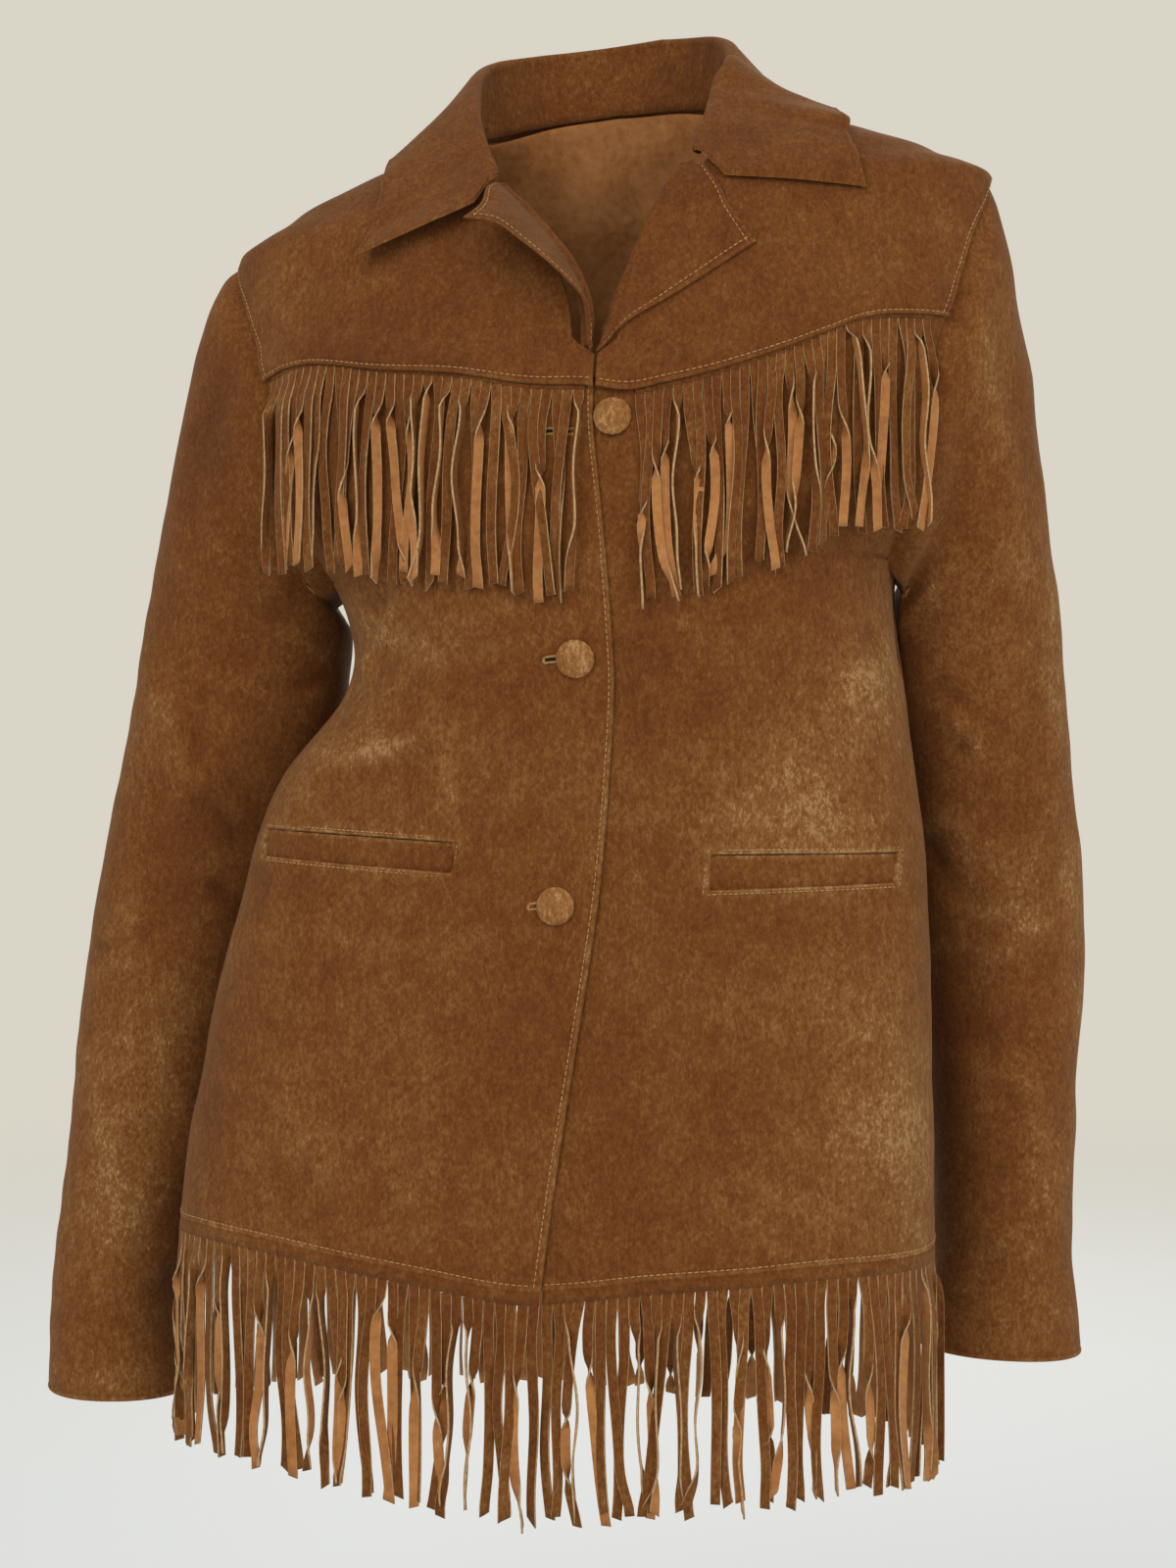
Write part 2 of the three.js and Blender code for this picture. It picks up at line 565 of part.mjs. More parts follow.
// Pocket welts: each is a band laid on the front. Corners are distance from the middle and level.
const WELT = {
  left: { from: 80, to: 180, top: [-428, -427], bottom: [-448, -444] },
  right: { from: -179, to: -62, top: [-415, -422], bottom: [-432, -440] },
};
function welt(side) {
  const { from, to, top, bottom } = WELT[side < 0 ? 'right' : 'left'];
  const rows = [0, 1].map((v) => shares(8).map((s) => {
    const u = mix(from, to, s);
    const level = mix(mix(bottom[0], bottom[1], s), mix(top[0], top[1], s), v);
    return onBody(frontAngle(u, level), level, GAP + WALL + 0.7);
  }));
  return wallBody(rows, WALL);
}

// Covered buttons: a dome on the front, by distance from the middle, level and lift
const BUTTON = { radius: 10.5, height: 4 };
const BUTTONS = [
  ['button_top', 16.5, -191, -1], ['button_middle', -2, -322, 0.4], ['button_bottom', -1.5, -457, -0.4],
];
function button(u, level, lift) {
  const { radius, height } = BUTTON;
  const profile = [[0, 0], [0.8, 0], [1, 0.3], [0.94, 0.62], [0.72, 0.86], [0.4, 0.97], [0, 1]];
  const dome = new THREE.LatheGeometry(profile.map(([r, h]) => new THREE.Vector2(r * radius, h * height)), 16);
  ['normal', 'uv'].forEach((attribute) => dome.deleteAttribute(attribute));
  const angle = frontAngle(u, level);
  const turn = new THREE.Quaternion().setFromUnitVectors(new THREE.Vector3(0, 1, 0), facing(angle, level));
  const at = onBody(angle, level, lift + GAP + 0.25);
  dome.applyMatrix4(new THREE.Matrix4().compose(at, turn, new THREE.Vector3(1, 1, 1)));
  const geometry = mergeVertices(dome, 1e-4);
  const corners = geometry.index.array;
  const kept = [];
  for (let i = 0; i < corners.length; i += 3) {
    const [a, b, c] = corners.slice(i, i + 3);
    if (a !== b && b !== c && a !== c) kept.push(a, b, c);
  }
  geometry.setIndex(kept);
  geometry.computeVertexNormals();
  return geometry;
}

// The same sequence of chance values on every run
function chance(seed) {
  let state = seed;
  return () => {
    state = (state * 1664525 + 1013904223) % 4294967296;
    return state / 4294967296;
  };
}

// Fringe cut from one strip. Its seam gives [angle, level, lift] by share; strands hang straight down,
// twisted and swayed a little, each within its own place, and rest on the body where they meet it.
function fringe({ seam, count, above, below, length, segments, seed, hangs }) {
  const next = chance(seed);
  const positions = [];
  const quad = (a, b, c, d) => [a, b, c, a, c, d].forEach((p) => positions.push(p.x, p.y, p.z));
  const samples = shares(240).map((share) => onBody(...seam(share)));
  const reach = [0];
  samples.slice(1).forEach((p, i) => reach.push(reach[i] + p.distanceTo(samples[i])));
  const shareAt = (distance) => {
    let i = 0;
    while (i < 239 && reach[i + 1] < distance) i += 1;
    return (i + (distance - reach[i]) / (reach[i + 1] - reach[i])) / 240;
  };
  const stations = shares(count).map((k) => {
    const [angle, level, lift] = seam(shareAt(k * reach[240]));
    const corner = (rise, depth) => onBody(angle, level + rise, lift + depth);
    return {
      highOut: corner(above, STRAND_THICK), highIn: corner(above, 0),
      lowOut: corner(-below, STRAND_THICK), lowIn: corner(-below, 0), out: facing(angle, level),
    };
  });
  const pitch = reach[240] / count;
  const half = (pitch * STRAND_SHARE) / 2;
  for (let k = 0; k < count; k += 1) {
    const a = stations[k];
    const b = stations[k + 1];
    quad(a.lowOut, b.lowOut, b.highOut, a.highOut);
    quad(a.lowIn, a.highIn, b.highIn, b.lowIn);
    quad(a.highOut, b.highOut, b.highIn, a.highIn);
    if (k === 0) quad(a.lowOut, a.highOut, a.highIn, a.lowIn);
    if (k === count - 1) quad(b.lowOut, b.lowIn, b.highIn, b.highOut);
    const along = b.lowOut.clone().sub(a.lowOut).setZ(0).normalize();
    const out = a.out.clone().setZ(0).normalize();
    const root = a.lowOut.clone().add(b.lowOut).add(a.lowIn).add(b.lowIn).multiplyScalar(0.25);
    const full = length * (0.96 + 0.07 * next());
    const twist = (next() < 0.5 ? -1 : 1) * (10 + 65 * next() ** 2) * DEG;
    const sway = (next() - 0.5) * 0.7;
    const stray = hangs ? (next() - 0.5) * 3 : 0;
    let previous = [a.lowOut, b.lowOut, b.lowIn, a.lowIn];
    const middle = root.clone();
    for (let i = 1; i <= segments; i += 1) {
      const share = i / segments;
      const turned = twist * Math.sin(share * 2.4);
      middle.z = root.z - full * share;
      middle.x = root.x + along.x * sway * share;
      middle.y = root.y + along.y * sway * share;
      middle.addScaledVector(out, stray * share);
      const off = STRAND_OFF + SLEEVE_OFF * smooth(Math.abs(root.x - ring(root.z).middle), 155, 185);
      const centre = hangs ? middle.clone() : restOutside(middle, off);
      if (!hangs) {
        root.x += centre.x - middle.x;
        root.y += centre.y - middle.y;
      }
      const wide = along.clone().multiplyScalar(Math.cos(turned)).addScaledVector(out, Math.sin(turned));
      const thick = out.clone().multiplyScalar(Math.cos(turned)).addScaledVector(along, -Math.sin(turned));
      const at = (w, t) => centre.clone()
        .addScaledVector(wide, w * half).addScaledVector(thick, (t * STRAND_THICK) / 2);
      const section = [at(-1, 1), at(1, 1), at(1, -1), at(-1, -1)];
      section.forEach((p, j) => quad(p, section[(j + 1) % 4], previous[(j + 1) % 4], previous[j]));
      previous = section;
    }
    quad(previous[0], previous[3], previous[2], previous[1]);
  }
  return closedGeometry(positions);
}
const yokeFringe = (side, from, to, count, seed) => fringe({
  seam: (share) => {
    const u = mix(from, to, share);
    const level = yokeSeam(u).level;
    return [frontAngle(u, level), level, GAP];
  },
  count, seed, above: TUCK - 0.5, below: 2.5, length: YOKE_STRANDS, segments: 3, hangs: false,
});

// The hem strips meet at the closing edge, where the left one sinks with its front, and at the side seams
const STRIP_IN = STRAND_THICK + 0.2;
const hemFringe = (from, to, count, seed, dipAt) => fringe({
  seam: (share) => {
    const angle = mix(from, to, share) * DEG;
    const level = HEM - GAP + hemRise(angle, HEM);
    return [angle, level, dipAt(distanceFromMiddle(angle, HEM), HEM) - STRIP_IN];
  },
  count, seed, above: 0, below: STRIP_HEIGHT, length: FRINGE_LENGTH, segments: 2, hangs: true,
});
const unsunk = () => 0;

add('front_left', frontPanel(1));
add('front_right', frontPanel(-1));
add('yoke_left', yokePanel(1));
add('yoke_right', yokePanel(-1));
add('back', backPanel());
add('sleeve_left', sleeve(1));
add('sleeve_right', sleeve(-1));

add('lapel_left', lapel(1));
add('lapel_right', lapel(-1));
add('collar', collar());
add('welt_left', welt(1));
add('welt_right', welt(-1));
BUTTONS.forEach(([name, u, level, lift]) => add(name, button(u, level, lift), 'button'));
add('fringe_yoke_left', yokeFringe(1, 29, 188, 33, 11), 'fringe');
add('fringe_yoke_right', yokeFringe(-1, -189, 1, 35, 12), 'fringe');
add('fringe_hem_left', hemFringe(1.72, 89, 43, 13, underlapDip), 'fringe');
add('fringe_hem_right', hemFringe(-89, 1.5, 45, 14, unsunk), 'fringe');
add('fringe_hem_back', hemFringe(90.5, 269.5, 86, 15, unsunk), 'fringe');

export default jacket;
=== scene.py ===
import math
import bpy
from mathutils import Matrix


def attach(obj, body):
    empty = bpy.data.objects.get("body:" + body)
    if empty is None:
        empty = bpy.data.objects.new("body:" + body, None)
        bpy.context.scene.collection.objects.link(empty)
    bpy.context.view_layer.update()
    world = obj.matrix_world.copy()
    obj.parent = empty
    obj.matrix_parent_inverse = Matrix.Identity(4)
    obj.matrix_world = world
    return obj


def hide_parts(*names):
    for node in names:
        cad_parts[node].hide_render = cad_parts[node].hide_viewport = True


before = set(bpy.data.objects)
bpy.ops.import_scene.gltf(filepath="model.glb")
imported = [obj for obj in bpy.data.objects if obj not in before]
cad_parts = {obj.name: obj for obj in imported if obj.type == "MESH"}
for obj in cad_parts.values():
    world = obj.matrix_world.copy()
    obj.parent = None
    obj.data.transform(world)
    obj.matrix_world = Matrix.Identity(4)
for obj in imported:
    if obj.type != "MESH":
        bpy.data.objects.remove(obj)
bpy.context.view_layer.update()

from types import SimpleNamespace

import bpy
import numpy as np
from mathutils import Vector

# Camera, daylight and floor.
# The photo is a level view from about 1.4 m, at the height of the waist, in soft light from the left.
# The floor is plain and pale, well below the jacket, and turns into the backdrop further off.
CAMERA_AT = (-0.0035, -1.4, -0.3903)
LENS = 54.07
camera_data = bpy.data.cameras.new("camera")
camera_data.lens = LENS
camera_data.sensor_width = 36
camera_data.clip_end = 50
camera = bpy.data.objects.new("camera", camera_data)
camera.location = CAMERA_AT
camera.rotation_euler = (math.radians(90), 0, 0)
bpy.context.scene.collection.objects.link(camera)
bpy.context.scene.camera = camera


def soft_light(name, place, aim, size, power, color):
    """A square lamp at a place, turned to its aim."""
    lamp = bpy.data.lights.new(name, "AREA")
    lamp.shape = "SQUARE"
    lamp.size = size
    lamp.energy = power
    lamp.color = color
    holder = bpy.data.objects.new(name, lamp)
    holder.location = place
    holder.rotation_euler = (Vector(aim) - Vector(place)).to_track_quat("-Z", "Y").to_euler()
    bpy.context.scene.collection.objects.link(holder)


MIDDLE = (0, 0, -0.35)
soft_light("window_light", (-1.3, -2.2, 1.1), MIDDLE, 1.6, 30, (1.0, 0.97, 0.93))
soft_light("room_light", (1.7, -1.9, 0.2), MIDDLE, 1.8, 20, (1.0, 0.96, 0.9))
soft_light("back_light", (0.6, 2.4, 1.2), MIDDLE, 2.0, 30, (1.0, 0.98, 0.96))

BACKDROP = (0.70, 0.665, 0.575, 1)
bpy.context.scene.view_settings.view_transform = "Standard"
world = bpy.data.worlds.new("pale_room")
world.use_nodes = True
world.node_tree.nodes["Background"].inputs["Color"].default_value = BACKDROP
world.node_tree.nodes["Background"].inputs["Strength"].default_value = 1.0
bpy.context.scene.world = world

FLOOR_DROP = 1.15
FLOOR_SIZE = 60
FLOOR_PAINT = (0.72, 0.765, 0.83, 1)
SWEEP_FROM = 0.8
SWEEP_TO = 4.5
bpy.ops.object.select_all(action="DESELECT")
bpy.ops.mesh.primitive_plane_add(size=FLOOR_SIZE, location=(0, 0, -FLOOR_DROP))
floor = bpy.context.object
floor.name = "floor"
floor_paint = bpy.data.materials.new("pale_floor")
floor_paint.use_nodes = True
paint, links = floor_paint.node_tree.nodes, floor_paint.node_tree.links
paint["Principled BSDF"].inputs["Base Color"].default_value = FLOOR_PAINT
paint["Principled BSDF"].inputs["Roughness"].default_value = 0.9
spot = paint.new("ShaderNodeTexCoord")
far = paint.new("ShaderNodeVectorMath")
far.operation = "LENGTH"
fade = paint.new("ShaderNodeMapRange")
fade.interpolation_type = "SMOOTHSTEP"
fade.inputs["From Min"].default_value = SWEEP_FROM
fade.inputs["From Max"].default_value = SWEEP_TO
sweep = paint.new("ShaderNodeEmission")
sweep.inputs["Color"].default_value = BACKDROP
both = paint.new("ShaderNodeMixShader")
links.new(spot.outputs["Object"], far.inputs[0])
links.new(far.outputs["Value"], fade.inputs["Value"])
links.new(fade.outputs["Result"], both.inputs["Fac"])
links.new(paint["Principled BSDF"].outputs["BSDF"], both.inputs[1])
links.new(sweep.outputs["Emission"], both.inputs[2])
links.new(both.outputs["Shader"], paint["Material Output"].inputs["Surface"])
floor.data.materials.append(floor_paint)

# Fronts.
# Two panels of brushed split hide below the yoke, darted to the waist. The right front laps over the
# left and is buttoned to it; each is turned under and topstitched at its closing edge and hem. The pile
# lies lighter or darker as it was last stroked, and is rubbed pale at the edges. Crease ridges are
# painted lighter and troughs darker (painted highlight and shade), and the left front is painted darker
# beside the closing edge of the right front that laps it (painted shadow).
MM = 0.001
# The suede's wall, the gap between two layers, the turn of the worn form and how square its rings are
WALL = 1.5
GAP = 0.35
TURN = math.radians(8.6)
ROUND = 2.3
# Levels of the armpit, the shoulder's end and the hem
ARMPIT = -268
SHOULDER = -57
HEM = -655
# Where the underlap ends, how far it sinks beneath the right front, and a front's tuck under its yoke
UNDERLAP = -40
DIP = WALL + GAP + 0.8
TUCK = 4
# Distances from the middle at which a yoke's seam and a front's top reach the armhole, and the form's
# half depth at the side seam
HALF_CHEST = 195
FRONT_SIDE = 198
SIDE_DEPTH = 115
# How far in a turned edge is rounded and how far it drops there, and the stitches' place and depth
RIM_ROUND = 0.9
RIM_DROP = 0.72
STITCH_IN = 3.2
STITCH_SINK = 0.12
# Lengths of the soft waves of worn hide
WAVES = (90, 47, 26)


class Finish:
    """Adds and links the nodes of one material."""

    def __init__(self, name):
        self.material = bpy.data.materials.new(name)
        self.material.use_nodes = True
        self.tree = self.material.node_tree
        self.shader = self.tree.nodes["Principled BSDF"]
        self.place = self.add("ShaderNodeTexCoord").outputs["Object"]

    def add(self, kind, **settings):
        node = self.tree.nodes.new(kind)
        for key, value in settings.items():
            setattr(node, key, value)
        return node

    def link(self, source, target):
        self.tree.links.new(source, target)

    def noise(self, scale, detail=4, rough=0.6, stretch=None, warp=0):
        node = self.add("ShaderNodeTexNoise")
        node.inputs["Scale"].default_value = scale
        node.inputs["Detail"].default_value = detail
        node.inputs["Roughness"].default_value = rough
        node.inputs["Distortion"].default_value = warp
        place = self.place
        if stretch:
            mapping = self.add("ShaderNodeMapping")
            mapping.inputs["Scale"].default_value = stretch
            mapping.inputs["Rotation"].default_value = (0, math.radians(24), 0)
            self.link(place, mapping.inputs["Vector"])
            place = mapping.outputs["Vector"]
        self.link(place, node.inputs["Vector"])
        return node.outputs["Fac"]

    def attribute(self, name):
        return self.add("ShaderNodeAttribute", attribute_name=name).outputs["Fac"]

    def math(self, operation, a, b=0.0, clamp=False):
        node = self.add("ShaderNodeMath", operation=operation, use_clamp=clamp)
        for socket, value in zip(node.inputs, (a, b)):
            if isinstance(value, (int, float)):
                socket.default_value = value
            else:
                self.link(value, socket)
        return node.outputs[0]

    def spread(self, value, low, high):
        node = self.add("ShaderNodeMapRange")
        self.link(value, node.inputs["Value"])
        node.inputs["From Min"].default_value = low
        node.inputs["From Max"].default_value = high
        return node.outputs[0]

    def ramp(self, value, stops):
        node = self.add("ShaderNodeValToRGB")
        for _ in stops[2:]:
            node.color_ramp.elements.new(0.5)
        for element, (at, color) in zip(node.color_ramp.elements, stops):
            element.position = at
            element.color = (*color, 1)
        self.link(value, node.inputs["Fac"])
        return node.outputs["Color"]

    def blend(self, share, a, b, kind="MIX"):
        node = self.add("ShaderNodeMix", data_type="RGBA", blend_type=kind)
        for socket, value in zip((node.inputs[0], node.inputs[6], node.inputs[7]), (share, a, b)):
            if isinstance(value, tuple):
                socket.default_value = (*value, 1)
            elif isinstance(value, (int, float)):
                socket.default_value = value
            else:
                self.link(value, socket)
        return node.outputs[2]

    def finish(self, color, height, bump, distance, roughness, sheen):
        self.link(color, self.shader.inputs["Base Color"])
        node = self.add("ShaderNodeBump")
        node.inputs["Strength"].default_value = bump
        node.inputs["Distance"].default_value = distance
        self.link(height, node.inputs["Height"])
        self.link(node.outputs["Normal"], self.shader.inputs["Normal"])
        self.shader.inputs["Roughness"].default_value = roughness
        self.shader.inputs["Specular IOR Level"].default_value = 0.18
        self.shader.inputs["Sheen Weight"].default_value = sheen
        self.shader.inputs["Sheen Roughness"].default_value = 0.55
        self.shader.inputs["Sheen Tint"].default_value = (0.95, 0.70, 0.40, 1)
        return self.material


# Linear colours of the hide
DEEP = (0.074, 0.0205, 0.0038)
BROWN = (0.112, 0.0335, 0.0060)
WARM = (0.146, 0.0500, 0.0098)
PALE = (0.200, 0.0890, 0.0270)
RUBBED = (0.300, 0.1720, 0.0720)
REVERSE = (0.300, 0.123, 0.0370)


def suede(name, shade=1.0, worn=0.0):
    """Brushed hide. Its attribute is 0.5 where plain, more where brushed pale or painted light on a ridge,
    and less where painted shade lies.
    """
    hide = Finish(name)
    cloud = hide.noise(11, 4, 0.6, warp=0.3)
    patch = hide.noise(62, 4, 0.7)
    clump = hide.noise(360, 3, 0.66, stretch=(1.15, 1, 0.8))
    streak = hide.noise(150, 3, 0.6, stretch=(1.5, 1, 0.6))
    fibre = hide.noise(900, 2, 0.7, stretch=(1, 1, 0.45))
    nap_and_painted_light = hide.attribute("nap_and_painted_light")
    lie = hide.math("ADD", hide.math("MULTIPLY", hide.math("SUBTRACT", cloud, 0.5), 0.62),
                    hide.math("MULTIPLY", hide.math("SUBTRACT", patch, 0.5), 0.5))
    # The attribute adds brushed places and rubbed edges, and also painted highlight and painted shade.
    lie = hide.math("ADD", lie, hide.math("MULTIPLY", hide.math("SUBTRACT", nap_and_painted_light, 0.5), 1.2))
    grain = hide.math("ADD", hide.math("MULTIPLY", hide.math("SUBTRACT", clump, 0.5), 1.25),
                      hide.math("MULTIPLY", hide.math("SUBTRACT", fibre, 0.5), 0.9))
    grain = hide.math("ADD", grain, hide.math("MULTIPLY", hide.math("SUBTRACT", streak, 0.5), 0.55))
    rough = hide.math("ADD", 0.78, hide.math("MULTIPLY", hide.math("MAXIMUM", lie, 0.0), 0.5))
    tone = hide.math("ADD", 0.46 + worn, lie)
    tone = hide.math("ADD", tone, hide.math("MULTIPLY", grain, rough), clamp=True)
    stops = [(0.0, DEEP), (0.30, BROWN), (0.52, WARM), (0.80, PALE), (1.0, RUBBED)]
    stops = [(at, tuple(c * shade for c in color)) for at, color in stops]
    color = hide.ramp(tone, stops)
    height = hide.math("ADD", hide.math("MULTIPLY", fibre, 0.5), hide.math("MULTIPLY", clump, 0.9))
    return hide.finish(color, height, 0.45, 0.0007, 0.95, 0.10)


def grain_side(name, shade=1.0):
    """The smooth reverse of the hide, with its fine pores."""
    hide = Finish(name)
    cloud = hide.math("MULTIPLY", hide.noise(28, 4), 0.6)
    tone = hide.math("ADD", cloud, hide.math("MULTIPLY", hide.noise(210, 3), 0.4))
    stops = [(0.0, (0.21, 0.078, 0.020)), (0.5, REVERSE), (1.0, (0.37, 0.165, 0.056))]
    stops = [(at, tuple(c * shade for c in color)) for at, color in stops]
    color = hide.ramp(hide.spread(tone, 0.36, 0.64), stops)
    return hide.finish(color, hide.noise(900, 2), 0.3, 0.0003, 0.72, 0.1)


SUEDE = suede("suede_nap")
GRAIN = grain_side("grain_reverse")


def curve(rows):
    """Reads a short table at any key, on a smooth curve through its rows."""
    rows = np.array(rows, float)
    keys = rows[:, 0]
    order = np.arange(len(rows))
    chord = rows[np.minimum(order + 1, len(rows) - 1)] - rows[np.maximum(order - 1, 0)]
    slopes = chord[:, 1:] / chord[:, :1]

    def read(key):
        k = np.clip(np.asarray(key, float), keys[0], keys[-1])
        i = np.clip(np.searchsorted(keys, k) - 1, 0, len(keys) - 2)
        span = (keys[i + 1] - keys[i])[..., None]
        f = (k - keys[i])[..., None] / span
        start = rows[i, 1:]
        rise = rows[i + 1, 1:] - start
        a = slopes[i] * span
        b = slopes[i + 1] * span
        return np.moveaxis(start + f * (a + f * (3 * rise - 2 * a - b + f * (a + b - 2 * rise))), -1, 0)

    return read


# Body rings: level, middle, half width to image left and right, front and back depth, rise to the
# image right, and how far each side seam stands forward
ring = curve([
    (-672, -20, 221, 221, 128, 128, -0.045, -30, -26),
    (-604, -16, 216, 216, 126, 126, -0.035, -32, -28),
    (-524, -9, 209, 208, 121, 122, -0.02, -32, -30),
    (-456, -2, 200, 199, 118, 118, -0.006, -30, -30),
    (-415, 2, 194, 192, 116, 114, 0, -26, -28),
    (-382, 5, 183, 184, 115, 110, 0.006, -22, -24),
    (-338, 9, 154, 174, 118, 108, 0.014, -12, -16),
    (-310, 10, 150, 168, 122, 110, 0.02, -4, -8),
    (-268, 11, 165, 168, 125, 116, 0.028, 0, 0),
    (-235, 11, 190, 190, 124, 119, 0.034, 0, 0),
    (-185, 11, 207, 207, 117, 118, 0.044, 0, 0),
    (-150, 10, 215, 215, 111, 112, 0.05, 0, 0),
    (-127, 10, 221, 221, 105, 106, 0.055, 0, 0),
    (-88, 9, 226, 226, 91, 91, 0.066, 0, 0),
    (-57, 9, 224, 224, 79, 79, 0.078, 0, 0),
    (-49, 9, 212, 212, 74, 75, 0.078, 0, 0),
    (-43, 9, 198, 198, 70, 72, 0.078, 0, 0),
    (-35, 9, 185, 185, 64, 70, 0.078, 0, 0),
    (-27, 9, 166, 166, 57, 68, 0.078, 0, 0),
    (-18, 9, 144, 144, 49, 66, 0.078, 0, 0),
    (-9, 8, 114, 114, 41, 65, 0.078, 0, 0),
    (0, 7, 92, 92, 34, 64, 0.078, 0, 0),
    (8, 6, 79, 79, 30, 64, 0.078, 0, 0),
    (30, 5, 72, 72, 28, 64, 0.078, 0, 0),
])
# Half width inside the armhole by level, yoke seam by distance from the middle, closing edge by level
armhole = curve([
    (ARMPIT, 163), (-262, 164), (-238, 172), (-210, 178), (-185, 183), (-157, 190), (-136, 197),
    (-112, 207), (-94, 213), (-75, 220), (SHOULDER, 224),
])
yoke_seam = curve([
    (-230, -143), (-197, -146), (-181, -143.5), (-171, -141.5), (-153, -142.5), (-115, -152.4),
    (-70, -160.3), (-40, -168), (-24, -171), (0, -173.2), (25, -178), (46, -175), (73, -169.5), (107, -159),
    (128, -150.5), (147, -142.5), (166, -140), (200, -139.5), (230, -139),
])
closing = curve([
    (-672, 8.4), (-565, 16.1), (-460, 21.5), (-400, 21.2), (-322, 18.6), (-243, 11.6), (-192, 6), (-153, 7),
])


def power(value, exponent):
    return np.sign(value) * np.abs(value) ** exponent


def smooth(value, low, high):
    share = np.clip((value - low) / (high - low), 0, 1)
    return share * share * (3 - 2 * share)


def mix(a, b, share):
    return a + (b - a) * share


def unit(vectors):
    return vectors / np.maximum(np.linalg.norm(vectors, axis=-1, keepdims=True), 1e-9)


def body(angle, level):
    """A point of the worn form. Angle 0 is the middle front and 90 degrees the image-right side."""
    angle, level = np.broadcast_arrays(np.asarray(angle, float), np.asarray(level, float))
    middle, left, right, front, back, tilt, left_side, right_side = ring(level)
    side = np.sin(angle)
    face = np.cos(angle)
    u = np.where(side < 0, left, right) * power(side, 2 / ROUND)
    w = np.where(side < 0, left_side, right_side) * side**2
    w = w - np.where(face > 0, front, back) * power(face, 2 / ROUND)
    return np.stack([
        middle + u * math.cos(TURN) + w * math.sin(TURN),
        -u * math.sin(TURN) + w * math.cos(TURN),
        level + tilt * u,
    ], -1)


def facing(angle, level):
    turnward = body(angle + 0.02, level) - body(angle - 0.02, level)
    upward = body(angle, level + 1.5) - body(angle, level - 1.5)
    return unit(np.cross(turnward, upward))


def on_body(angle, level, lift=0.0):
    return body(angle, level) + facing(angle, level) * np.asarray(lift)[..., None]


def front_angle(u, level):
    _, left, right, *_ = ring(level)
    share = np.minimum(np.abs(u) / np.where(np.asarray(u) < 0, left, right), 1)
    return np.sign(u) * np.arcsin(share ** (ROUND / 2))


def from_middle(angle, level):
    _, left, right, *_ = ring(level)
    return np.where(angle < 0, left, right) * power(np.sin(angle), 2 / ROUND)


def side_angle(side, level):
    level = np.asarray(level, float)
    _, left, right, *_ = ring(level)
    share = np.minimum(armhole(level)[0] / (left if side < 0 else right), 1)
    angle = np.arcsin(share ** (ROUND / 2))
    return side * np.where((level <= ARMPIT) | (level >= SHOULDER), math.pi / 2, angle)


hem_line_rise = curve([
    (-215, 5.4), (-190, 7), (-146, 4.8), (-102, 0), (-58, -4.7), (-16, -9.6), (8, -9.6), (67, 0), (116, 5.9),
    (164, 11.7), (206, 13.3), (230, 13.5),
])


def hem_rise(angle, level):
    """How far the hem stands over its level: lowest at the closing, higher at the side seams."""
    _, left, right, *_ = ring(level)
    fade = np.clip((ARMPIT - level) / (ARMPIT - HEM), 0, 1) ** 2
    across = power(np.sin(angle), 2 / ROUND)
    half = np.where(across < 0, left, right)
    behind = hem_line_rise(np.sign(across) * half)[0] * across**2
    return fade * np.where(np.cos(angle) >= 0, hem_line_rise(across * half)[0], behind)


def steps(length, gap, start=False, end=False):
    """Shares of a length, closer at an edge that is rolled and stitched."""
    close = np.array([0, 0.2, 0.5, 0.9, 1.6, 2.3, 2.8, STITCH_IN, 3.6, 4.1, 5, 6.5, 8.5]) / length
    shares = np.linspace(0, 1, max(int(length / gap), 2) + 1)
    if start:
        shares = np.concatenate([close, shares[shares > close[-1] * 1.15]])
    if end:
        shares = np.concatenate([shares[shares < 1 - close[-1] * 1.15], 1 - close[::-1]])
    return shares


def edge_distance(grid, axis):
    """Millimetres along one way of a grid from its first line and from its last."""
    gaps = np.linalg.norm(np.diff(grid, axis=axis), axis=-1)
    run = np.cumsum(gaps, axis=axis)
    zero = np.zeros_like(np.take(run, [0], axis=axis))
    run = np.concatenate([zero, run], axis=axis)
    return run, np.take(run, [-1], axis=axis) - run


def edge_height(distance, stitched=True):
    """Height of a turned edge: round at the rim, full beside it and drawn in along the stitches."""
    rim = np.clip(1 - distance / RIM_ROUND, 0, 1)
    height = -RIM_DROP * (1 - np.sqrt(1 - rim**2))
    if stitched:
        height = height - 0.42 * np.exp(-(((distance - STITCH_IN) / 0.55) ** 2))
        height = height + 0.25 * np.exp(-(((distance - 1.5) / 0.9) ** 2))
    return height


def normals_of(grid, wrap=False):
    """Outward direction at each point of a grid."""
    if wrap:
        across = np.roll(grid, -1, 1) - np.roll(grid, 1, 1)
    else:
        across = np.gradient(grid, axis=1)
    return unit(np.cross(across, np.gradient(grid, axis=0)))


def creases(points, normals, rows):
    """Soft ridges and troughs. Each row: x, z to x, z, width, height, and -1 for front or 1 for back."""
    height = np.zeros(points.shape[:-1])
    for x0, z0, x1, z1, width, tall, face in rows:
        run = np.array([x1 - x0, z1 - z0], float)
        length = np.hypot(*run)
        run = run / length
        dx = points[..., 0] - x0
        dz = points[..., 2] - z0
        along = (dx * run[0] + dz * run[1]) / length
        bend = 0.08 * length * np.sin(along * math.pi + x0)
        across = -dx * run[1] + dz * run[0] + bend
        window = np.exp(-(((along - 0.5) / 0.52) ** 4))
        turned = smooth(face * normals[..., 1], 0.05, 0.5)
        height = height + tall * np.exp(-((across / width) ** 2)) * window * turned
    return height


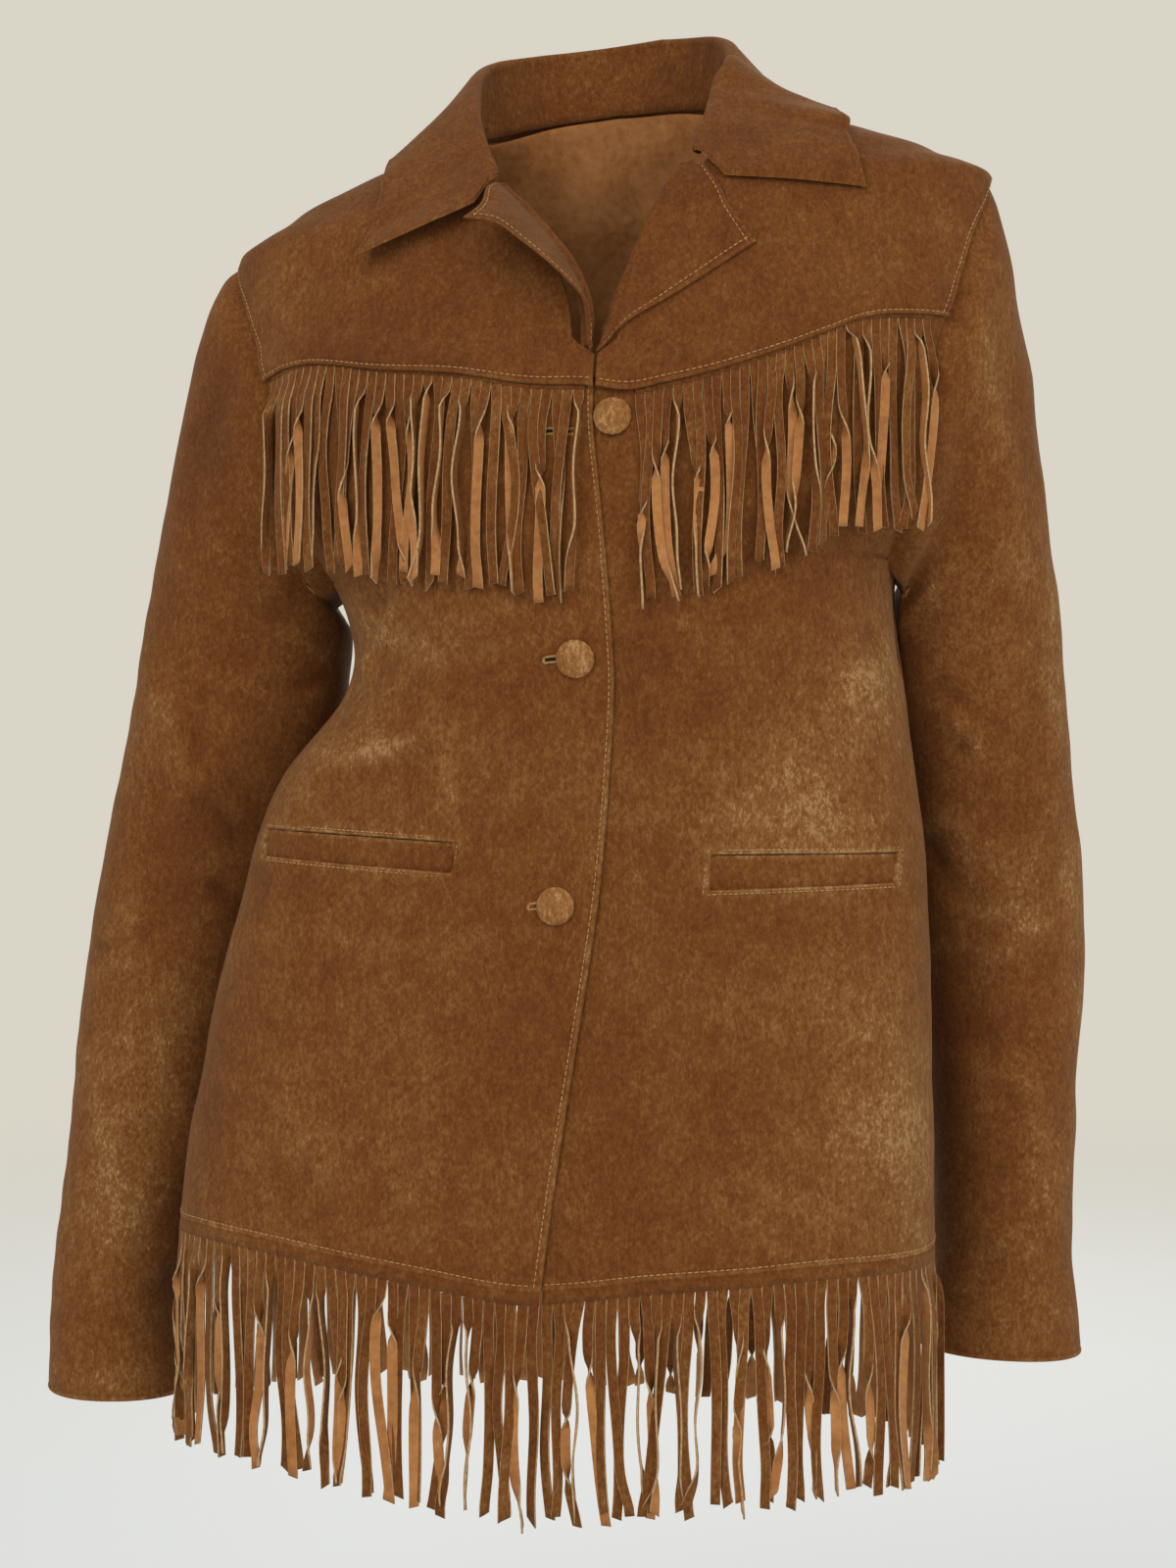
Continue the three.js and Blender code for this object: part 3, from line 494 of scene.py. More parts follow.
def patches(points, rows):
    """Brushed places, and on the sleeves also painted light and shade. Each row: x, z, half width, half
    height, slant in degrees and amount.
    """
    nap_and_painted_light = np.zeros(points.shape[:-1])
    for x, z, wide, tall, slant, amount in rows:
        dx = points[..., 0] - x
        dz = points[..., 2] - z
        c, s = math.cos(math.radians(slant)), math.sin(math.radians(slant))
        reach = ((dx * c + dz * s) / wide) ** 2 + ((dz * c - dx * s) / tall) ** 2
        nap_and_painted_light = nap_and_painted_light + amount * np.exp(-reach)
    return nap_and_painted_light


def waves(points, amount, seed):
    """The uneven lie of worn hide: a few soft waves of each size."""
    chance = np.random.default_rng(seed)
    height = np.zeros(points.shape[:-1])
    for size in WAVES:
        for _ in range(4):
            way = unit(chance.normal(size=3))
            phase = points @ way * (2 * math.pi / size) + chance.uniform(0, 6.3)
            height = height + size / WAVES[0] * np.sin(phase)
    return amount * height / 3


def grid_faces(rows, columns, wrap=False, flip=False, first=0):
    """Quads over a grid, as corner numbers."""
    i, j = np.meshgrid(np.arange(rows - 1), np.arange(columns if wrap else columns - 1), indexing="ij")
    k = (j + 1) % columns
    a, b, c, d = i * columns + j, i * columns + k, (i + 1) * columns + k, (i + 1) * columns + j
    quads = np.stack([a, b, c, d], -1).reshape(-1, 4)
    return first + (quads[:, ::-1] if flip else quads)


def mesh_object(name, points, quads, looks, materials, nap_and_painted_light=None):
    """A mesh from points in millimetres and four-cornered faces."""
    mesh = bpy.data.meshes.new(name)
    mesh.vertices.add(len(points))
    mesh.vertices.foreach_set("co", (points * MM).astype(np.float32).ravel())
    mesh.loops.add(quads.size)
    mesh.loops.foreach_set("vertex_index", quads.astype(np.int32).ravel())
    mesh.polygons.add(len(quads))
    mesh.polygons.foreach_set("loop_start", np.arange(0, quads.size, 4, dtype=np.int32))
    for material in materials:
        mesh.materials.append(material)
    mesh.polygons.foreach_set("material_index", np.asarray(looks, np.int32))
    mesh.update(calc_edges=True)
    mesh.validate()
    mesh.shade_smooth()
    if nap_and_painted_light is not None:
        mesh.attributes.new("nap_and_painted_light", "FLOAT", "POINT").data.foreach_set("value", nap_and_painted_light.astype(np.float32).ravel())
    piece = bpy.data.objects.new(name, mesh)
    bpy.context.scene.collection.objects.link(piece)
    return piece


def cloth(name, grid, nap_and_painted_light, wrap=False, wall=WALL, materials=None, rim=None, mirrored=False):
    """A closed wall of suede from a grid of points of its outer face."""
    if mirrored:
        grid, nap_and_painted_light, rim = grid[:, ::-1], nap_and_painted_light[:, ::-1], rim[:, ::-1]
    rows, columns = grid.shape[:2]
    normals = normals_of(grid, wrap)
    depth = np.full((rows, columns), wall)
    if rim is not None:
        rounded = np.clip(1 - rim / RIM_ROUND, 0, 1)
        depth = np.maximum(wall - 2 * RIM_DROP * (1 - np.sqrt(1 - rounded**2)), 0.06)
    inner = grid - normals * depth[..., None]
    count = rows * columns
    outer_faces = grid_faces(rows, columns, wrap)
    inner_faces = grid_faces(rows, columns, wrap, flip=True, first=count)
    j = np.arange(columns if wrap else columns - 1)
    k = (j + 1) % columns
    top = (rows - 1) * columns
    rims = [
        np.stack([j, count + j, count + k, k], -1),
        np.stack([top + j, top + k, count + top + k, count + top + j], -1),
    ]
    if not wrap:
        i = np.arange(rows - 1) * columns
        last = columns - 1
        rims.append(np.stack([i, i + columns, count + i + columns, count + i], -1))
        i = i + last
        rims.append(np.stack([i, count + i, count + i + columns, i + columns], -1))
    rims = np.concatenate(rims)
    quads = np.concatenate([outer_faces, inner_faces, rims])
    looks = np.repeat([0, 1, 2], [len(outer_faces), len(inner_faces), len(rims)])
    points = np.concatenate([grid.reshape(-1, 3), inner.reshape(-1, 3)])
    shades = np.concatenate([nap_and_painted_light.ravel(), nap_and_painted_light.ravel()])
    return mesh_object(name, points, quads, looks, materials or [SUEDE, GRAIN, SUEDE], shades)


def fit(piece, node):
    """Rides on the jacket's one body and stands for its solid."""
    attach(piece, "root")
    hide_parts(*([node] if isinstance(node, str) else node))


stitch_lines = []


def note_stitches(grid, normals, pitch=3.4):
    """Remembers a line of points on a seam, to be sewn when all the cloth is made."""
    stitch_lines.append((np.asarray(grid, float), np.asarray(normals, float), pitch))


def stitched_line(distances):
    """Which line of a grid lies nearest to where the stitches run."""
    return np.argmin(np.abs(distances - STITCH_IN))


FRONT_CREASES = [
    (-108, -278, -119, -308, 6, 3.2, -1), (-119, -306, -131, -329, 5, 4.0, -1),
    (-113, -282, -126, -318, 5, -3.0, -1),
    (-147, -300, -133, -328, 5, -2.6, -1), (-143, -280, -125, -303, 5, 1.8, -1),
    (-156, -373, -81, -365, 6, 2.0, -1),
    (-81, -365, -78, -412, 6, 1.4, -1), (-150, -384, -92, -376, 7, -1.8, -1),
    (-142, -483, -95, -478, 4, -1.2, -1),
    (-169, -374, -103, -335, 8, 1.6, -1), (-180, -418, -153, -385, 6, 1.2, -1),
    (-103, -302, -48, -310, 6, 0.9, -1),
    (-98, -329, -48, -313, 5, -0.9, -1), (-59, -435, -32, -459, 5, 0.8, -1),
    (-169, -501, -103, -534, 9, 1.0, -1),
    (-203, -556, -136, -600, 10, 0.9, -1), (-86, -512, -48, -567, 9, -0.8, -1),
    (-120, -560, -80, -640, 11, 1.0, -1),
    (68, -429, 164, -302, 13, 2.2, -1), (84, -407, 162, -346, 9, -1.4, -1), (18, -335, 84, -385, 9, 0.9, -1),
    (150, -302, 170, -335, 6, -1.8, -1), (71, -466, 150, -474, 4, -0.9, -1),
    (107, -489, 184, -462, 7, 1.0, -1),
    (18, -308, 52, -302, 4, 0.5, -1), (18, -500, 62, -555, 10, 0.8, -1), (140, -555, 184, -632, 12, 1.2, -1),
    (52, -599, 118, -572, 9, -0.8, -1), (164, -480, 176, -600, 12, 1.0, -1),
    (90, -300, 150, -262, 9, -1.2, -1),
    (-90, -270, -140, -262, 8, 1.0, -1),
]
FRONT_PATCHES = [
    (-118, -372, 44, 9, 8, 0.16), (-80, -395, 9, 22, 0, 0.14), (-105, -312, 30, 9, -20, 0.12),
    (-60, -318, 40, 8, 5, 0.10), (-128, -478, 36, 7, -5, 0.11), (-160, -402, 26, 8, -40, 0.10),
    (128, -370, 56, 28, 52, 0.22), (158, -330, 24, 60, -4, 0.15), (110, -412, 64, 14, 2, 0.13),
    (150, -560, 50, 70, 20, 0.19), (120, -610, 70, 40, 0, 0.08), (95, -500, 60, 28, -12, 0.12),
    (178, -600, 16, 60, 0, 0.14),
    (-170, -560, 26, 50, 20, 0.10), (-110, -590, 60, 50, 10, 0.06), (-130, -330, 40, 40, 0, 0.05),
    (-20, -590, 30, 40, 0, 0.05), (40, -345, 40, 30, 30, -0.06),
    (60, -470, 30, 26, 0, -0.05), (-50, -520, 44, 40, 0, -0.05), (-70, -640, 120, 9, -2, 0.06),
]


# Pocket openings: distances from the middle, then the levels of the top and bottom edges at each
WELT = {1: (80, 180, (-428, -427), (-448, -444)), -1: (-179, -62, (-415, -422), (-432, -440))}
# Distance, height and pitch of the stitches round an opening, and the levels that it lies between
WELT_STITCH = 1.9
WELT_STITCH_UP = 0.62
WELT_PITCH = 2.9
POCKET_BAND = (-454, -408)


def welt_distance(side, u, level):
    """Millimetres outside the pocket opening, less than nothing inside it."""
    low, high, top, bottom = WELT[side]
    share = np.clip((u - low) / (high - low), 0, 1)
    sideways = np.maximum(low - u, u - high)
    return np.maximum(sideways, np.maximum(level - mix(*top, share), mix(*bottom, share) - level))


def welt_rim(distance):
    """The turned edge of the opening: raised round it, stitched, and dropping to the pocket inside."""
    beyond = np.maximum(distance, 0)
    height = 1.2 * np.exp(-((beyond / 4.5) ** 2))
    height = height - 0.35 * np.exp(-(((distance - WELT_STITCH) / 0.6) ** 2))
    return height - 4.0 * smooth(-distance, 0.0, 0.9)


# How far a front runs on past the side seam
SEAM_TUCK = 1.2


def underlap_dip(u, level):
    """How far the left front sinks beneath the right one."""
    return -DIP * (1 - smooth(u - closing(level)[0], 4, 27))


def front_panel(side):
    """One front as a grid of points from hem to yoke, with how far each lies from the pocket."""
    across = steps(262, 2.1, start=True)
    up_low = steps(390, 3.4, start=True)
    pocket = (np.array(POCKET_BAND) - HEM) / (ARMPIT - HEM)
    below, above = up_low[up_low < pocket[0]], up_low[up_low > pocket[1]]
    up_low = np.concatenate([below, np.linspace(*pocket, 66), above])
    up_high = np.linspace(0, 1, 42)[1:]
    s = across[None, :]

    def edge_u(level):
        return closing(level)[0] if side < 0 else np.full_like(level, UNDERLAP)

    def top(u):
        return yoke_seam(u)[0] + TUCK

    guess = mix(edge_u(np.array([HEM]))[0], side * HALF_CHEST, s)
    low = mix(HEM, ARMPIT, up_low[:, None]) + 0 * s
    high = mix(ARMPIT, mix(top(guess), top(side * FRONT_SIDE), s**6), up_high[:, None])
    level = np.concatenate([low, high])
    start = front_angle(edge_u(level), level)
    end = side_angle(side, level) + side * SEAM_TUCK / SIDE_DEPTH
    angle = mix(start, end, s**0.85)
    level = level + hem_rise(angle, level)
    u = from_middle(angle, level)
    lift = underlap_dip(u, level) if side > 0 else 0 * u
    return on_body(angle, level, lift), welt_distance(side, u, level)


for side, name in ((1, "left"), (-1, "right")):
    base, from_pocket = front_panel(side)
    from_edge, _ = edge_distance(base, 1)
    from_hem, _ = edge_distance(base, 0)
    normals = normals_of(base) * side
    rise = 1.3 * creases(base, normals, FRONT_CREASES)
    body_share = smooth(from_edge, 4, 26) * smooth(from_hem, 5, 30)
    rise = rise * smooth(from_edge, 2, 18) + waves(base, 0.55, 3) * body_share
    rise = rise + welt_rim(from_pocket)
    relief = rise + edge_height(from_edge) + edge_height(from_hem)
    grid = base + normals * relief[..., None]
    worn = 0.16 * np.exp(-from_edge / 1.1) + 0.13 * np.exp(-from_hem / 1.1)
    worn = worn + 0.12 * np.exp(-(((from_edge - 1.6) / 1.4) ** 2))
    worn = worn - 0.08 * np.exp(-(((from_edge - STITCH_IN) / 0.7) ** 2))
    worn = worn + 0.10 * np.exp(-(((from_hem - 1.8) / 1.8) ** 2))
    worn = worn + 0.22 * np.exp(-(((from_pocket - 0.3) / 0.8) ** 2))
    worn = worn + 0.07 * np.exp(-((from_pocket / 6) ** 2))
    # Crease ridges are painted lighter and troughs darker: painted highlight and painted shade.
    nap_and_painted_light = 0.5 + np.clip(rise * 0.035, -0.14, 0.14) + patches(base, FRONT_PATCHES) + worn
    # Painted shadow: the left front is darker within about 40 mm of its closing edge, under and beside the
    # lapping right front.
    if side > 0:
        nap_and_painted_light = nap_and_painted_light - 0.30 * (1 - smooth(from_edge, 38, 50))
    rim = np.minimum(from_edge, from_hem)
    panel = cloth(f"suede_front_{name}", grid, nap_and_painted_light, rim=rim, mirrored=side < 0)
    fit(panel, f"front_{name}")
    seat = base + normals * (rise - STITCH_SINK)[..., None]
    column = stitched_line(from_edge[60])
    row = stitched_line(from_hem[:, 60])
    if side < 0:
        note_stitches(seat[4:, column], normals[4:, column])
    note_stitches(seat[row, 4:], normals[row, 4:])
    low, high, top, bottom = WELT[side]
    share = np.linspace(0, 1, 40)
    u = mix(low, high, share)
    for level in (mix(*top, share) + WELT_STITCH, mix(*bottom, share) - WELT_STITCH):
        angle = front_angle(u, level)
        note_stitches(on_body(angle, level, WELT_STITCH_UP), facing(angle, level), WELT_PITCH)
    for at, share in ((low - WELT_STITCH, 0), (high + WELT_STITCH, 1)):
        level = np.linspace(mix(*bottom, share) - WELT_STITCH, mix(*top, share) + WELT_STITCH, 12)
        angle = front_angle(np.full(12, at), level)
        note_stitches(on_body(angle, level, WELT_STITCH_UP), facing(angle, level), WELT_PITCH)

# Back.
# One wide panel from the hem to the neck seam, plain, with soft folds at the waist and below the
# shoulders. It is sewn to the fronts at the sides and to the yokes just behind the shoulder ridge.

# The form's half depth at the shoulder, how far the back stays off a seam, and the angles from the middle
# front at which the neck seam starts and at which it meets the shoulder seam
SHOULDER_DEPTH = 45
SEAM_SHIFT = 0.8
GORGE = 13.4
NECK_POINT = 97
neck_seam = curve([(GORGE, -44), (22.8, -24), (51, -4), (97, 5), (120, 12), (150, 20), (180, 23)])
NECK_TOP = neck_seam(NECK_POINT)[0]
BACK_CREASES = [
    (-128, -300, -60, -318, 9, 2.2, 1), (-134, -322, -74, -338, 8, -1.8, 1),
    (-120, -346, -40, -352, 10, 1.5, 1),
    (140, -296, 74, -316, 9, 2.0, 1), (142, -322, 60, -344, 8, -1.6, 1), (120, -352, 30, -358, 10, 1.3, 1),
    (-165, -200, -105, -262, 10, 1.6, 1), (172, -190, 112, -258, 10, 1.7, 1),
    (-150, -232, -112, -300, 8, -1.2, 1),
    (158, -226, 118, -296, 8, -1.3, 1), (-30, -330, 34, -326, 12, 1.2, 1), (-24, -352, 44, -349, 8, -1.0, 1),
    (-80, -420, -130, -560, 16, 1.3, 1), (84, -430, 126, -580, 16, 1.2, 1), (10, -470, 4, -640, 18, -1.1, 1),
    (-150, -470, -172, -610, 12, 1.0, 1), (150, -480, 166, -610, 12, 1.0, 1),
    (-60, -60, -20, -92, 9, 0.8, 1),
    (70, -50, 30, -86, 9, 0.8, 1),
]
BACK_PATCHES = [
    (-120, -330, 50, 24, 12, 0.13), (110, -336, 54, 20, -10, 0.14), (0, -340, 60, 16, 0, 0.08),
    (-150, -150, 40, 60, 20, 0.08), (150, -140, 40, 60, -20, 0.12), (0, -90, 90, 26, 0, 0.06),
    (-110, -560, 50, 70, 10, 0.10), (120, -570, 46, 70, -10, 0.12), (10, -560, 30, 70, 0, -0.05),
    (0, -210, 70, 50, 0, -0.05), (-40, -440, 80, 30, 4, 0.05), (60, -642, 160, 9, 0, 0.06),
]


def shoulder_angle(side, level):
    return side * np.radians(90 + 7 * smooth(level, SHOULDER, -49))


def back_panel():
    """Rows up from the hem, columns from the image-right side seam round to the image-left one."""
    def seam(side, level):
        over = level >= SHOULDER
        angle = np.where(over, shoulder_angle(side, level), math.pi * side - side_angle(side, level))
        return angle + side * SEAM_SHIFT / np.where(over, SHOULDER_DEPTH, SIDE_DEPTH)

    across = steps(640, 3.6)[None, :]
    low = mix(HEM, ARMPIT, steps(387, 3.6, start=True))
    low = np.concatenate([low, np.linspace(ARMPIT, SHOULDER, 58)[1:]])
    level = low[:, None] + 0 * across
    angle = mix(seam(1, level), 2 * math.pi + seam(-1, level), across)
    lower = on_body(angle, level + hem_rise(angle, level))
    rise = np.linspace(0, 1, 26)[1:, None] ** 0.9 + 0 * across
    ridge = mix(SHOULDER, NECK_TOP - 0.5, rise)
    angle = mix(seam(1, ridge), 2 * math.pi + seam(-1, ridge), across)
    degrees = np.degrees(np.minimum(angle, 2 * math.pi - angle))
    middle = mix(SHOULDER, neck_seam(degrees)[0] - 0.5, rise)
    upper = on_body(angle, mix(middle, ridge, np.abs(2 * across - 1) ** 3))
    return np.concatenate([lower, upper])


def dress(base, normals, rise, edges, nap_and_painted_light):
    """Lays the relief of creases and turned edges on a grid. Edges: distances and whether stitched."""
    rim = np.full(base.shape[:-1], 99.0)
    for distance, stitched in edges:
        rise = rise + edge_height(distance, stitched)
        nap_and_painted_light = nap_and_painted_light + 0.13 * np.exp(-distance / 1.1)
        if stitched:
            nap_and_painted_light = nap_and_painted_light + 0.07 * np.exp(-(((distance - 1.6) / 1.3) ** 2))
            nap_and_painted_light = nap_and_painted_light - 0.05 * np.exp(-(((distance - STITCH_IN) / 0.7) ** 2))
        rim = np.minimum(rim, distance)
    return base + normals * rise[..., None], nap_and_painted_light, rim


base = back_panel()
normals = normals_of(base)
from_hem, _ = edge_distance(base, 0)
from_right, from_left = edge_distance(base, 1)
fold = 1.5 * creases(base, normals, BACK_CREASES) + waves(base, 0.9, 5) * smooth(from_hem, 5, 30)
# Crease ridges are painted lighter and troughs darker: painted highlight and painted shade.
nap_and_painted_light = 0.5 + np.clip(fold * 0.035, -0.12, 0.12) + patches(base, BACK_PATCHES)
grid, nap_and_painted_light, rim = dress(base, normals, fold, [(from_hem, True), (from_right, False), (from_left, False)], nap_and_painted_light)
back = cloth("suede_back", grid, nap_and_painted_light, rim=rim)
fit(back, "back")
row = stitched_line(from_hem[:, 60])
note_stitches((base + normals * (fold - STITCH_SINK)[..., None])[row], normals[row])

# Yokes.
# A shoulder piece for each front, cut to a shallow point. Its turned lower edge laps over the fringe
# strip and is topstitched through it; at the armhole it is stitched down beside the sleeve seam.

# Levels of the closing edge's top and of the roll's two ends, and the shares of the inner edge at which the
# closing edge and the roll end
CLOSING_TOP = -171
ROLL_START = -153
ROLL_END = -44
CLOSING_SHARE = 0.1
GORGE_SHARE = 0.62
# Thickness of a fringe strip, the slack in a lap, and how far a yoke's lower edge stands off over its strip
STRAND_THICK = 1.1
SLACK = 0.5
LAP = GAP * 2 + STRAND_THICK + WALL + SLACK
# Distances kept from the roll and the neck seam, and how far the cloth runs past the shoulder seam
ROLL_EDGE = 5
NECK_EDGE = 2.3
YOKE_TUCK = 2.4
# How far each yoke stays back from the closing edge
YOKE_BACK = {1: 1.5, -1: 0}
roll_right = curve([
    (-153, 8.5), (-120, 20.5), (-100, 28.5), (-82, 35.4), (-64, 43.4), (-53, 49.7), (-44, 55),
])
roll_left = curve([
    (-153, 4.5), (-130, 2.4), (-117, -1), (-94, -12.4), (-64, -36), (-53, -46.5), (-44, -53),
])
YOKE_CREASES = [
    (-96, -98, -178, -128, 10, 1.1, -1), (-120, -60, -186, -92, 9, 0.8, -1),
    (-60, -120, -130, -150, 9, -0.7, -1),
    (96, -100, 172, -120, 10, 1.0, -1), (140, -60, 196, -100, 9, 0.9, -1),
    (80, -130, 150, -140, 8, -0.6, -1),
    (-186, -80, -178, -140, 6, 0.9, -1), (196, -80, 184, -128, 6, 0.9, -1),
]
YOKE_PATCHES = [
    (-130, -70, 50, 14, 22, 0.12), (-150, -112, 40, 16, 16, 0.08), (-60, -140, 46, 10, 0, 0.05),
    (120, -80, 50, 14, -24, 0.11), (150, -110, 34, 20, -20, 0.10), (60, -150, 30, 10, 0, 0.05),
    (-190, -90, 12, 40, -10, 0.10), (200, -86, 12, 36, 12, 0.12),
]


def yoke_lift(u, level):
    return LAP * (1 - smooth(level - yoke_seam(u)[0], 7, 26))


def neckline(side):
    """Angle and level up the closing edge, along the lapel's roll, then round the neck seam."""
    roll = roll_left if side < 0 else roll_right
    low = yoke_seam(closing(CLOSING_TOP)[0])[0]

    def read(share):
        share = np.asarray(share, float)
        first = mix(low, ROLL_START, share / CLOSING_SHARE)
        second = mix(ROLL_START, ROLL_END, (share - CLOSING_SHARE) / (GORGE_SHARE - CLOSING_SHARE))
        degrees = mix(GORGE, NECK_POINT, (share - GORGE_SHARE) / (1 - GORGE_SHARE))
        where = [share < CLOSING_SHARE, share < GORGE_SHARE]
        angle = np.select(where, [
            front_angle(closing(first)[0] + YOKE_BACK[side], first),
            front_angle(roll(second)[0], second),
        ], side * np.radians(degrees))
        return np.stack([angle, np.select(where, [first, second], neck_seam(degrees)[0])], -1)

    return read


def yoke_panel(side):
    """Rows up from the lower edge to the shoulder seam, columns from the closing edge to the armhole."""
    inner = neckline(side)
    seam_from = yoke_seam(closing(CLOSING_TOP)[0])[0]
    start = front_angle(closing(CLOSING_TOP)[0] + YOKE_BACK[side], seam_from)
    end_level = yoke_seam(side * HALF_CHEST)[0]
    end = side_angle(side, end_level)

    def bottom(s):
        angle = mix(start, end, s)
        return np.stack([angle, yoke_seam(from_middle(angle, np.full_like(angle, seam_from)))[0]], -1)

    def top(s):
        level = mix(NECK_TOP, SHOULDER, s**0.8)
        return np.stack([shoulder_angle(side, level), level], -1)

    def outer(v):
        level = mix(end_level, SHOULDER, v)
        return np.stack([side_angle(side, level), level], -1)

    def domain(s, v):
        share, rise = s[..., None], v[..., None]
        flat = mix(bottom(np.zeros_like(s)), bottom(np.ones_like(s)), share)
        high = mix(top(np.zeros_like(s)), top(np.ones_like(s)), share)
        return mix(bottom(s), top(s), rise) + mix(inner(v), outer(v), share) - mix(flat, high, rise)

    def place(s, v):
        found = domain(s, v)
        angle, level = found[..., 0] + side * YOKE_TUCK / SHOULDER_DEPTH * v**8, found[..., 1]
        return on_body(angle, level, yoke_lift(from_middle(angle, level), level))

    rise = steps(140, 2.4, start=True)[:, None]
    across = steps(200, 2.6, start=True, end=True)[None, :]
    rough = place(np.linspace(0, 1, 30)[None, :] + 0 * rise, rise + np.zeros((1, 30)))
    width = edge_distance(rough, 1)[0][:, -1:]
    back_off = smooth(rise, 0.09, 0.14) * mix(ROLL_EDGE, NECK_EDGE, smooth(rise, 0.55, 0.68))
    first = back_off / width
    return place(first + (1 - first) * across, rise + 0 * across)


for side, name in ((1, "left"), (-1, "right")):
    base = yoke_panel(side)
    normals = normals_of(base) * side
    from_seam, _ = edge_distance(base, 0)
    from_edge, from_hole = edge_distance(base, 1)
    fold = creases(base, normals, YOKE_CREASES) + waves(base, 0.4, 8) * smooth(from_seam, 5, 24)
    # Crease ridges are painted lighter and troughs darker, and the whole yoke is set darker because it faces
    # up into more light: painted highlight and painted shade.
    nap_and_painted_light = 0.5 + np.clip(fold * 0.04, -0.1, 0.1) + patches(base, YOKE_PATCHES) - 0.09
    edges = [(from_seam, True), (from_hole, True), (from_edge, False)]
    grid, nap_and_painted_light, rim = dress(base, normals, fold, edges, nap_and_painted_light)
    seat = base + normals * (fold - STITCH_SINK)[..., None]
    row = stitched_line(from_seam[:, 40])
    column = stitched_line(from_hole[40])
    note_stitches(seat[row, 3:-3], normals[row, 3:-3])
    note_stitches(seat[4:-2, column], normals[4:-2, column])
    yoke = cloth(f"suede_yoke_{name}", grid, nap_and_painted_light, rim=rim, mirrored=side < 0)
    fit(yoke, f"yoke_{name}")

# Sleeves.
# One piece of suede each, closed by a seam under the arm and set into the armhole. The image-left one
# hangs a little away from the body and bends at the elbow; both crease softly above and below it.

# Points round a sleeve, its distances from the armhole and the body, how strongly the armhole holds the
# first two sections, and how far out and down each of them is carried from it
SLEEVE_SIDES = 128
HOLE_GAP = 1.6
SLEEVE_CLEAR = 3.4
HOLE_HOLD = (0.55, 0.2)
HEAD_STEP = (9, -12)
# Sections: outer x, z, inner x, z, middle y, half depth
SLEEVE = {
    -1: [
        (-223, -97, -158, -277, 36, 62), (-241, -140, -157, -283, 38, 59), (-257, -211, -153, -291, 42, 57),
        (-271, -283, -150, -305, 48, 55), (-285, -355, -158, -360, 55, 54), (-299, -426, -178, -424, 62, 52),
        (-309, -474, -196, -470, 66, 51), (-315, -522, -208, -510, 66, 50), (-319, -570, -219, -560, 62, 49),
        (-324, -641, -241, -641, 52, 47), (-328, -700, -254, -702, 42, 46), (-329, -754, -244, -755, 34, 45),
    ],
    1: [
        (232, -84, 178, -276, -20, 62), (245, -120, 177, -282, -14, 59), (264, -216, 173, -291, -4, 56),
        (274, -286, 172, -306, 6, 54), (283, -356, 180, -366, 18, 53), (292, -425, 190, -430, 30, 51),
        (296, -472, 196, -476, 36, 50), (294, -518, 199, -520, 34, 49), (290, -565, 203, -566, 28, 48),
        (287, -634, 208, -638, 24, 46), (287, -681, 206, -682, 21, 44), (291, -730, 195, -725, 19, 43),
    ],
}
SLEEVE_CREASES = {
    -1: [
        (-242, -346, -236, -380, 5, -2.6, -1), (-244, -377, -210, -413, 6, 2.2, -1),
        (-240, -392, -206, -424, 5, -1.6, -1),
        (-240, -430, -195, -432, 5, 1.6, -1), (-225, -447, -206, -474, 6, -2.8, -1),
        (-282, -468, -218, -471, 5, 1.8, -1),
        (-280, -480, -224, -475, 4, -1.8, -1), (-247, -657, -269, -694, 7, 1.4, -1),
        (-255, -554, -243, -624, 8, 1.2, -1),
        (-220, -156, -232, -250, 10, -1.6, -1), (-182, -297, -154, -314, 5, 2.0, -1),
        (-195, -332, -159, -326, 5, -2.2, -1),
        (-298, -507, -245, -496, 6, 1.3, -1), (-292, -595, -259, -583, 6, 1.0, -1),
        (-179, -250, -156, -273, 5, 1.8, -1),
        (-205, -170, -196, -290, 10, 1.5, -1), (-262, -300, -256, -420, 10, 1.2, -1),
        (-300, -540, -288, -660, 9, 0.9, -1),
        (-280, -440, -215, -456, 8, 2.0, 1), (-284, -470, -222, -492, 7, -2.0, 1),
        (-270, -400, -206, -420, 8, -1.4, 1),
        (-240, -260, -228, -360, 10, 1.4, 1), (-210, -180, -214, -280, 12, -1.3, 1),
        (-286, -540, -270, -640, 9, 1.0, 1),
        (-290, -560, -240, -580, 8, -1.0, 1), (-225, -120, -200, -160, 10, 1.2, 1),
    ],
    1: [
        (214, -190, 206, -252, 8, -1.8, -1), (200, -266, 176, -308, 6, 2.2, -1),
        (190, -262, 176, -292, 5, -1.8, -1),
        (254, -325, 272, -325, 4, 1.2, -1), (250, -291, 264, -291, 4, 1.0, -1),
        (204, -352, 224, -371, 5, 2.2, -1),
        (210, -372, 226, -356, 4, -2.0, -1), (192, -411, 221, -418, 5, 2.0, -1),
        (197, -421, 203, -440, 5, -2.2, -1),
        (233, -462, 263, -478, 6, 1.8, -1), (193, -334, 220, -346, 4, -1.6, -1),
        (200, -447, 248, -466, 5, -1.4, -1),
        (200, -492, 254, -480, 6, 1.4, -1), (204, -547, 254, -574, 7, 1.4, -1),
        (216, -105, 209, -190, 7, 2.0, -1),
        (222, -643, 258, -676, 7, 1.2, -1), (240, -150, 236, -280, 10, 1.3, -1),
        (262, -380, 258, -470, 9, 1.0, -1),
        (228, -500, 232, -600, 10, -1.0, -1), (260, -560, 256, -680, 9, 1.1, -1),
        (274, -440, 214, -456, 8, 2.0, 1), (276, -466, 212, -486, 7, -2.0, 1),
        (262, -400, 206, -420, 8, -1.4, 1),
        (240, -240, 230, -350, 10, 1.4, 1), (206, -180, 214, -280, 12, -1.3, 1),
        (262, -540, 250, -660, 9, 1.0, 1),
        (270, -560, 220, -580, 8, -1.0, 1), (226, -120, 204, -160, 10, 1.2, 1),
    ],
}
